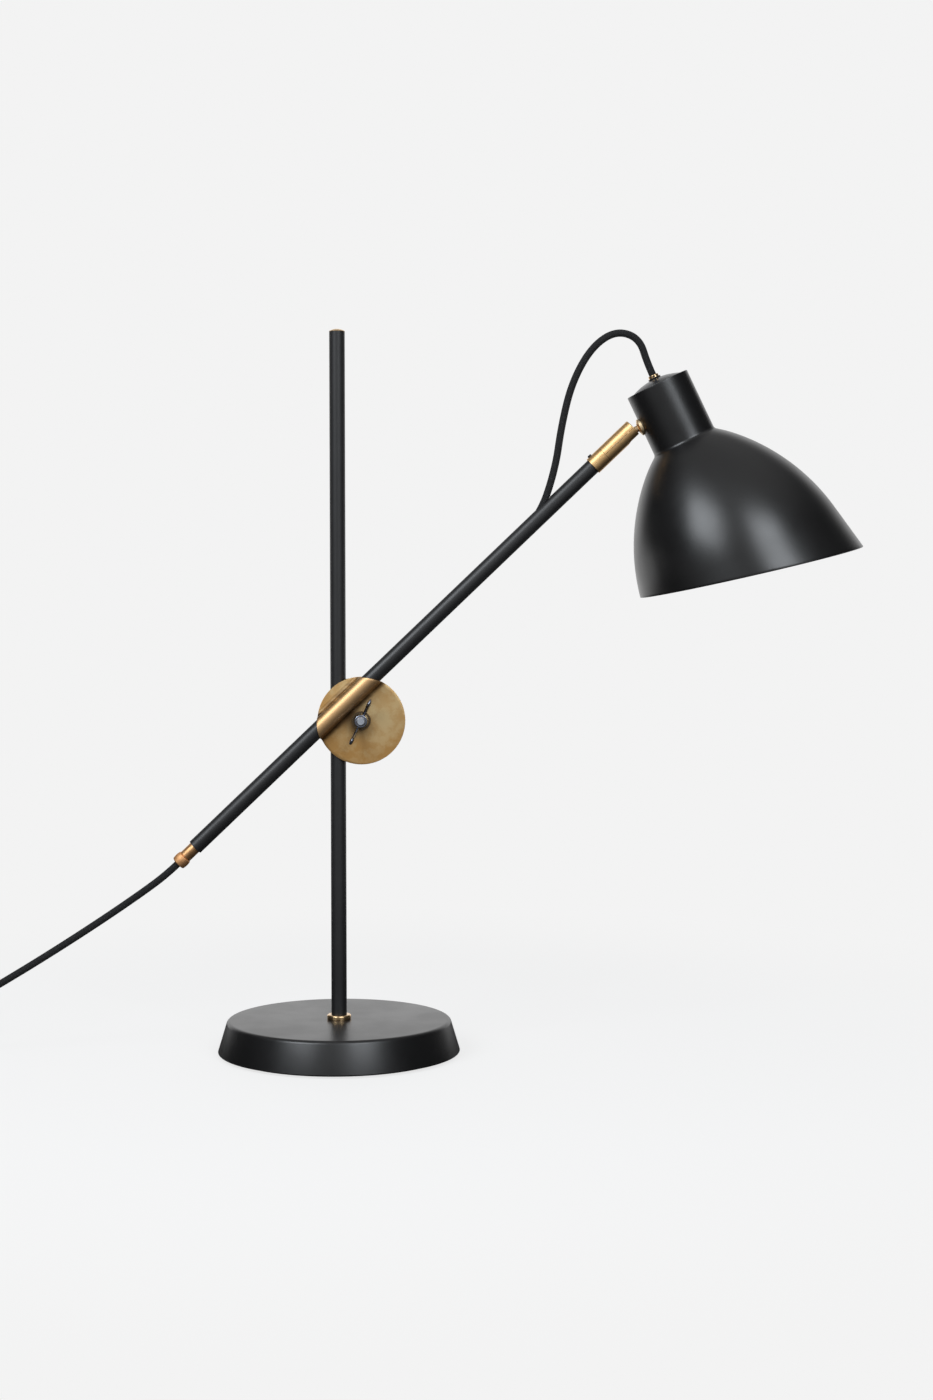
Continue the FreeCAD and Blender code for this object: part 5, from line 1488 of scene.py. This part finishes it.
@dataclass
class Cord(Assembly):
    """The textile cord, from the loop at the neck to the plug.

    Its routes are the points that the stretches follow, and a smooth spline is laid over them.

    Attributes:
        diameter: Of the cord.
        plug_level: Height of the plug's middle.
        coil_turns: Turns in each of the coil's two layers.
        coil_inner: Radius of the innermost turn's middle.
        coil_pitch: From turn to turn, and from layer to layer.
        coil_along: The coil's middle, behind the pole.
        switch_across: The switch's place across.
        switch_far: The end of the switch that the put-away length leaves.
        switch_level: Height of the cord there.
        coil_steps: Points in each turn of the coil.
        hanging: Route from the arm's lower end to the switch.
        loop: Route from the arm's slot to the neck's cap.
        lead_runs: Straight out of the switch, and straight into the coil.
        tail_runs: Out of the coil, down, and into the plug.
    """

    diameter: float = 6.5
    plug_level: float = 6.85
    coil_turns: float = 2.75
    coil_inner: float = 28.7
    coil_pitch: float = 7.1
    coil_along: float = 170.0
    switch_across: float = -455.0
    switch_far: float = 112.0
    switch_level: float = 8.5
    coil_steps: int = 24
    hanging: tuple[Triple, ...] = (
        (-143.87, -14.3, 175.07), (-153.3, -14.3, 166.1), (-171.8, -14.3, 151.9), (-208.5, -14.3, 126.6),
        (-252.0, -14.3, 98.3), (-297.0, -14.3, 70.5), (-343.5, -14.5, 43.4), (-377.0, -14.8, 24.6),
        (-406.9, -14.0, 11.5), (-429.0, -5.9, 5.2), (-445.9, 11.0, 5.0), (-455.0, 32.8, 8.5),
        (-455.0, 50.0, 8.5),
    )
    loop: tuple[Triple, ...] = (
        (162.0, -14.3, 467.6), (180.4, -14.3, 485.2), (194.9, -14.3, 527.9), (200.7, -14.3, 568.7),
        (209.8, -14.3, 605.8), (227.0, -14.3, 636.8), (248.5, -14.3, 651.5), (269.5, -14.3, 645.0),
        (277.2, -14.3, 621.2), (283.3, -14.3, 608.6),
    )
    lead_runs: Pair = (16.0, 12.0)
    tail_runs: Triple = (8.0, 17.0, 32.0)

    def lay(self, route: Array, name: str) -> Array:
        """The line of the spline whose control points are a route's points. Two points give a straight.

        Args:
            route: The route's points.
            name: A name for the spline.

        Returns:
            The line's points.
        """
        curve = bpy.data.curves.new(name, "CURVE")
        curve.dimensions, curve.resolution_u = "3D", 24
        spline = curve.splines.new("NURBS")
        spline.points.add(len(route) - 1)
        weighted = np.concatenate([route * MM, np.ones((len(route), 1))], axis=1)
        spline.points.foreach_set("co", weighted.ravel())
        spline.order_u = 3
        spline.use_endpoint_u = True
        holder = bpy.data.objects.new(name, curve)
        mesh = bpy.data.meshes.new_from_object(holder)
        line = np.zeros(len(mesh.vertices) * 3)
        mesh.vertices.foreach_get("co", line)
        bpy.data.objects.remove(holder)
        bpy.data.meshes.remove(mesh)
        bpy.data.curves.remove(curve)
        return line.reshape(-1, 3) / MM

    def tube(self, line: Array, reference: Array, sides: int) -> Array:
        """Rings round a line: each is square to it, and starts on the side that the reference gives.

        Args:
            line: The line's points.
            reference: The direction that the first side of each ring is square to.
            sides: Points in each ring.

        Returns:
            Points (rows, sides, 3).
        """
        way = unit(np.gradient(line, axis=0))
        side = unit(np.cross(way, reference))
        rise = np.cross(side, way)
        turn = np.arange(sides) * (2 * math.pi / sides)
        radius = self.diameter / 2
        return (line[:, None] + side[:, None] * (radius * np.cos(turn))[:, None]
                + rise[:, None] * (radius * np.sin(turn))[:, None])

    def stretch(self, name: str, rings: Array, line: Array, covered: float) -> bpy.types.Object:
        """One piece of the cord, closed at both ends.

        Args:
            name: The piece's name.
            rings: Its rings.
            line: Its line.
            covered: Length of cord before it.

        Returns:
            The piece.
        """
        first = np.broadcast_to(line[0], rings[:1].shape)
        last = np.broadcast_to(line[-1], rings[:1].shape)
        piece = Surface(name, np.concatenate([first, rings, last]), start=covered).build()
        piece.data.set_sharp_from_angle(angle=math.radians(80))
        return piece

    def declare(self, piece: bpy.types.Object, line: Array, far_end: str, lay: str,
                with_pieces: Sequence[str] = ()) -> None:
        """Does nothing with the piece or its line.

        Args:
            piece: Not used.
            line: Not used.
            far_end: Not used.
            lay: Not used.
            with_pieces: Not used.
        """

    def cross(self, made: Sequence[tuple[bpy.types.Object, Array]], bodies: Sequence[tuple[Body, Body]],
              lay: str) -> None:
        """Bakes each stretch's place into its mesh; each stretch crosses one joint, from the first body of
        its pair to the second.

        Args:
            made: Each piece with its line.
            bodies: The two bodies of each piece.
            lay: How the pieces lie.
        """
        for (piece, line), (upper, lower) in zip(made, bodies):
            self.declare(piece, line, "object", lay)
            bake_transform(piece)

    def run(self, route: Array, cuts: Sequence[int], names: Sequence[str], nodes: Sequence[str],
            reference: Array, sides: int) -> list[tuple[bpy.types.Object, Array]]:
        """Lays a route and cuts it midway between the given points and the next ones.

        Args:
            route: The route's points.
            cuts: Numbers of the points after which the cord is cut, at the middle of the run.
            names: The pieces' names.
            nodes: The nodes that they stand for.
            reference: The side on which the rings start.
            sides: Sides of the tube.

        Returns:
            Each piece with its line.
        """
        line = self.lay(route, "route")
        rings = self.tube(line, reference, sides)
        travelled = np.concatenate([[0.0], np.cumsum(np.linalg.norm(np.diff(line, axis=0), axis=1))])
        middles = [(route[n] + route[n + 1]) / 2 for n in cuts]
        inner = [int(np.linalg.norm(line - middle, axis=1).argmin()) for middle in middles]
        marks = [0, *inner, len(line) - 1]
        made = []
        for name, node, low, high in zip(names, nodes, marks, marks[1:]):
            piece = self.stretch(name, rings[low:high + 1], line[low:high + 1], float(travelled[low]))
            self.dress(piece, Slot.CORD, node)
            made.append((piece, line[low:high + 1]))
        return made

    def coil_point(self, wound: Array) -> Array:
        """Places on the put-away coil after numbers of turns.

        The radius grows by one pitch a turn away from the middle of the winding, eased over a quarter turn
        where it reverses. The cord climbs to the upper layer, along a smooth step, in the half turn there.

        Args:
            wound: Numbers of turns from the start.

        Returns:
            Points (..., 3).
        """
        ease = 0.25
        away = np.abs(wound - self.coil_turns)
        spread = np.where(away < ease, away * away / (2 * ease), away - ease / 2)
        radius = self.coil_inner + self.coil_pitch * spread
        angle = math.pi - 2 * math.pi * wound
        climb = np.clip((wound - self.coil_turns) * 2 + 0.5, 0, 1)
        height = self.diameter / 2 + self.coil_pitch * climb ** 2 * (3 - 2 * climb)
        outer = self.coil_inner + self.coil_pitch * (self.coil_turns - ease / 2)
        return np.stack([self.switch_across + outer + radius * np.cos(angle),
                         self.coil_along + radius * np.sin(angle), height], -1)

    def spare_route(self) -> Array:
        """Points from the switch into the coil, round it, and out to the plug.

        Returns:
            The route's points.
        """
        total = 2 * self.coil_turns
        step = 1 / self.coil_steps
        first = unit(self.coil_point(np.array(1e-3)) - self.coil_point(np.array(0.0)))
        last = unit(self.coil_point(np.array(total)) - self.coil_point(np.array(total - 1e-3)))
        turns = self.coil_point(np.arange(0.0, total + step / 2, step))
        start, finish = turns[0] - first * self.diameter, turns[-1] + last * self.diameter
        out = np.array([self.switch_across, self.switch_far, self.switch_level])
        level = unit(last * np.array([1.0, 1.0, 0.0]))
        drop = np.array([0.0, 0.0, self.plug_level - finish[2]])
        outward, inward = self.lead_runs
        lead = [out, out + BACK * outward, start - first * inward, start]
        away, down, plug = np.cumsum(self.tail_runs)
        tail = [finish, finish + level * away, finish + level * down + drop, finish + level * plug + drop]
        return np.concatenate([np.stack(lead), turns, np.stack(tail)])

    def make_hanging(self) -> None:
        """The cord from the arm's lower end down to the switch, each stretch across one joint."""
        names = ("cord_from_arm", "cord_hanging", "cord_low", "cord_on_table")
        nodes = ("cord_hang_upper", "cord_hang_middle", "cord_hang_lower", "cord_floor")
        made = self.run(np.array(self.hanging), (3, 5, 7), names, nodes, UP, 32)
        switch = ("switch_base", "switch_cover", "switch_block", "switch_screws", "switch_reliefs",
                  "switch_rocker")
        bodies = ((Body.ARM, Body.TILT_DISC), (Body.TILT_DISC, Body.CLAMP), (Body.CLAMP, Body.POLE))
        self.cross(made, bodies, "hanging")
        piece, line = made[-1]
        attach(piece, Body.POLE.value)
        self.declare(piece, line, "object", "loose", switch)

    def make_loop(self) -> None:
        """The loop from the arm's slot over to the neck's cap."""
        made = self.run(np.array(self.loop), (4,), ("cord_loop_lower", "cord_loop_upper"),
                        ("cord_loop_arm", "cord_loop_neck"), BACK, 40)
        self.cross(made, ((Body.ARM, Body.SOCKET), (Body.SOCKET, Body.SHADE)), "loose")

    def make_spare(self) -> None:
        """The put-away length: lead, coil and tail in one piece, which ends in the plug."""
        line = self.lay(self.spare_route(), "spare")
        piece = self.stretch("cord_put_away", self.tube(line, UP, 20), line, 0.0)
        self.dress(piece, Slot.CORD, "cord_lead", "cord_coil", "cord_tail", body=Body.POLE)
        self.declare(piece, line, "plug", "coiled", ("plug_body", "plug_pins", "plug_relief"))

    def make_inside(self) -> None:
        """The straight stretch inside the arm, which shows in the slot."""
        line = self.lay(np.array([self.loop[0], self.hanging[0]]), "inside")
        piece = self.stretch("cord_through_arm", self.tube(line, BACK, 24), line, 0.0)
        self.dress(piece, Slot.CORD, "cord_in_arm", body=Body.ARM)

    def build(self) -> None:
        """Makes every stretch."""
        self.make_hanging()
        self.make_loop()
        self.make_spare()
        self.make_inside()


# ---- studio ----


@dataclass(frozen=True)
class Softbox:
    """A rectangular lamp with an even face.

    Attributes:
        name: The lamp's name.
        place: Its middle, in metres.
        size: Width and height, in metres.
        power: Watts.
    """

    name: str
    place: Triple
    size: Pair
    power: float
    colour: Colour = (0.90, 0.95, 1.0)


@dataclass
class Studio:
    """Floor, lamps, surroundings and camera.

    Attributes:
        pale: Level of the background that the camera sees.
        wall: Level of the pale wall behind the lamp, in reflections.
        surround: Level of the dim room.
        front: Level of the room's end behind the camera.
        floor_reach: From the pole to the floor's edge, in metres.
        floor_depth: The floor under the table's level, in metres, so that it touches nothing.
        floor_light: Level that the lamps and the room give the floor near the lamp.
        near: Distances over which the shadowed floor fades into the background, in metres.
        floor_ahead: Depths between which the reflected floor goes from the front's level to the room's.
        floor_behind: Depths between which it goes on to the wall's level.
        wall_rays: Depth of a ray's direction where the wall starts, and where it has its full level.
        front_rays: The same for the room's front, whose full level comes first.
        above_rays: Height of a ray's direction where the ceiling starts, and where it has its full level.
        above: What the ceiling adds to the room's level.
        boxes: The softboxes.
        aim: The point that they are turned to.
        lens: Focal length of the camera, in millimetres.
        eye: The camera's place.
        tilt: The camera's direction from straight down, in degrees.
    """

    pale: float = 0.896
    wall: float = 1.02
    surround: float = 0.05
    front: float = 0.26
    floor_reach: float = 40.0
    floor_depth: float = 0.0004
    floor_light: float = 0.15
    near: Pair = (0.35, 0.9)
    floor_ahead: Pair = (-2.0, -0.3)
    floor_behind: Pair = (0.6, 1.6)
    wall_rays: Pair = (0.60, 0.88)
    front_rays: Pair = (-0.95, -0.45)
    above_rays: Pair = (0.55, 0.95)
    above: float = 0.35
    boxes: tuple[Softbox, ...] = (
        Softbox("softbox_left", (-1.83, -2.20, 2.20), (1.8, 1.6), 54.0),
        Softbox("softbox_right", (1.63, -3.05, 2.42), (1.8, 1.9), 57.0),
    )
    aim: Triple = (0.20, -0.05, 0.35)
    lens: float = 61.714
    eye: Triple = (0.1159, -2.163, 0.454)
    tilt: float = 86.5

    def make_floor(self) -> None:
        """A wide pale floor that shows the lamp's shadow and fades into the background further out."""
        size, level = self.floor_reach, -self.floor_depth
        mesh = bpy.data.meshes.new("floor")
        corners = [(-size, -size, level), (size, -size, level), (size, size, level), (-size, size, level)]
        mesh.from_pydata(corners, [], [(0, 1, 2, 3)])
        floor = bpy.data.objects.new("floor", mesh)
        bpy.context.scene.collection.objects.link(floor)
        made = bpy.data.materials.new("pale_floor")
        made.use_nodes = True
        made.node_tree.nodes.clear()
        tree = Tree(made.node_tree)
        reach = tree.add("ShaderNodeVectorMath", {0: tree.place()}, operation="LENGTH").outputs["Value"]
        near = tree.between(reach, *self.near, 1.0, 0.0)
        path = tree.add("ShaderNodeLightPath").outputs
        glow = tree.white(self.pale - self.floor_light)
        shaded = tree.add("ShaderNodeAddShader", {0: tree.matt(0.22), 1: glow}).outputs[0]
        shown = tree.add("ShaderNodeMixShader", {0: near, 1: tree.white(self.pale), 2: shaded}).outputs[0]
        seen = tree.maths("MAXIMUM", path["Is Camera Ray"], path["Is Transmission Ray"])
        direct = tree.add("ShaderNodeMixShader", {0: seen, 1: tree.matt(0.8), 2: shown}).outputs[0]
        depth = tree.add("ShaderNodeSeparateXYZ", {0: tree.place()}).outputs["Y"]
        ahead = tree.between(depth, *self.floor_ahead, self.front, self.surround)
        behind = tree.between(depth, *self.floor_behind, 0.0, self.wall - self.surround)
        swept = tree.maths("ADD", ahead, behind)
        both = tree.add("ShaderNodeMixShader", {0: path["Is Glossy Ray"], 1: direct,
                                                2: tree.white(swept)}).outputs[0]
        tree.add("ShaderNodeOutputMaterial", {"Surface": both})
        mesh.materials.append(made)

    def make_world(self) -> None:
        """Pale for the camera all round. Other rays meet a pale wall behind the lamp and a dim room."""
        world = bpy.data.worlds.new("studio")
        bpy.context.scene.world = world
        world.use_nodes = True
        world.node_tree.nodes.clear()
        tree = Tree(world.node_tree)
        ray = tree.add("ShaderNodeTexCoord").outputs["Generated"]
        parts = tree.add("ShaderNodeSeparateXYZ", {0: ray}).outputs
        wall = tree.between(parts["Y"], *self.wall_rays)
        above = tree.between(parts["Z"], *self.above_rays, 0.0, self.above)
        front = tree.between(parts["Y"], *self.front_rays, self.front, 0.0)
        room = tree.maths("ADD", tree.maths("MULTIPLY", wall, self.wall - self.surround),
                          tree.maths("ADD", tree.maths("ADD", above, front), self.surround))
        seen = tree.add("ShaderNodeLightPath").outputs["Is Camera Ray"]
        level = tree.add("ShaderNodeMix", {0: seen, 2: room, 3: self.pale}).outputs[0]
        sky = tree.add("ShaderNodeBackground", {"Color": (1.0, 1.0, 1.0), "Strength": level}).outputs[0]
        tree.add("ShaderNodeOutputWorld", {"Surface": sky})

    def make_lamps(self) -> None:
        """Hangs the softboxes, each turned to the lamp's middle."""
        for box in self.boxes:
            light = bpy.data.lights.new(box.name, "AREA")
            light.shape, light.size, light.size_y = "RECTANGLE", *box.size
            light.energy, light.color = box.power, box.colour
            holder = bpy.data.objects.new(box.name, light)
            holder.location = box.place
            way = np.array(box.place) - np.array(self.aim)
            lift = math.atan2(math.hypot(way[0], way[1]), way[2])
            holder.rotation_euler = (lift, 0.0, math.atan2(way[0], -way[1]))
            bpy.context.scene.collection.objects.link(holder)

    def make_camera(self) -> None:
        """The camera at the photograph's place: at the arm's height, a little to the right of the pole."""
        camera = bpy.data.cameras.new("camera")
        camera.lens, camera.sensor_width, camera.sensor_fit = self.lens, 36.0, "AUTO"
        holder = bpy.data.objects.new("camera", camera)
        holder.location = self.eye
        holder.rotation_euler = (math.radians(self.tilt), 0.0, 0.0)
        bpy.context.scene.collection.objects.link(holder)
        bpy.context.scene.camera = holder

    def build(self) -> None:
        """Sets up the studio."""
        bpy.context.scene.view_settings.view_transform = "Standard"
        self.make_camera()
        self.make_floor()
        self.make_world()
        self.make_lamps()


def dress_nodes(frame: dict[str, Any], palette: Palette) -> None:
    """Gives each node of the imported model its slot's finish, but not those that are all replaced.

    Args:
        palette: The materials.
    """
    for subpart in frame["record"]["subparts"]:
        node, slot = frame["nodes"][subpart["node"]], Slot(subpart["material_slot"])
        if slot in (Slot.BRASS_SHEET, Slot.CORD):
            continue
        node.data.materials.clear()
        node.data.materials.append(palette.material(slot, subpart["node"]))


def main() -> None:
    """Builds the studio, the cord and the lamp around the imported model."""
    logging.basicConfig(level=logging.INFO, format="%(name)s: %(message)s")
    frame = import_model()
    layout, palette = Layout(), Palette()
    Studio().build()
    for kind in (Cord, Base, Pole, Clamp, Arm, Shade):
        LOG.info("building %s", kind.__name__)
        kind(layout, palette).build()
    dress_nodes(frame, palette)


if __name__ == "__main__":
    main()
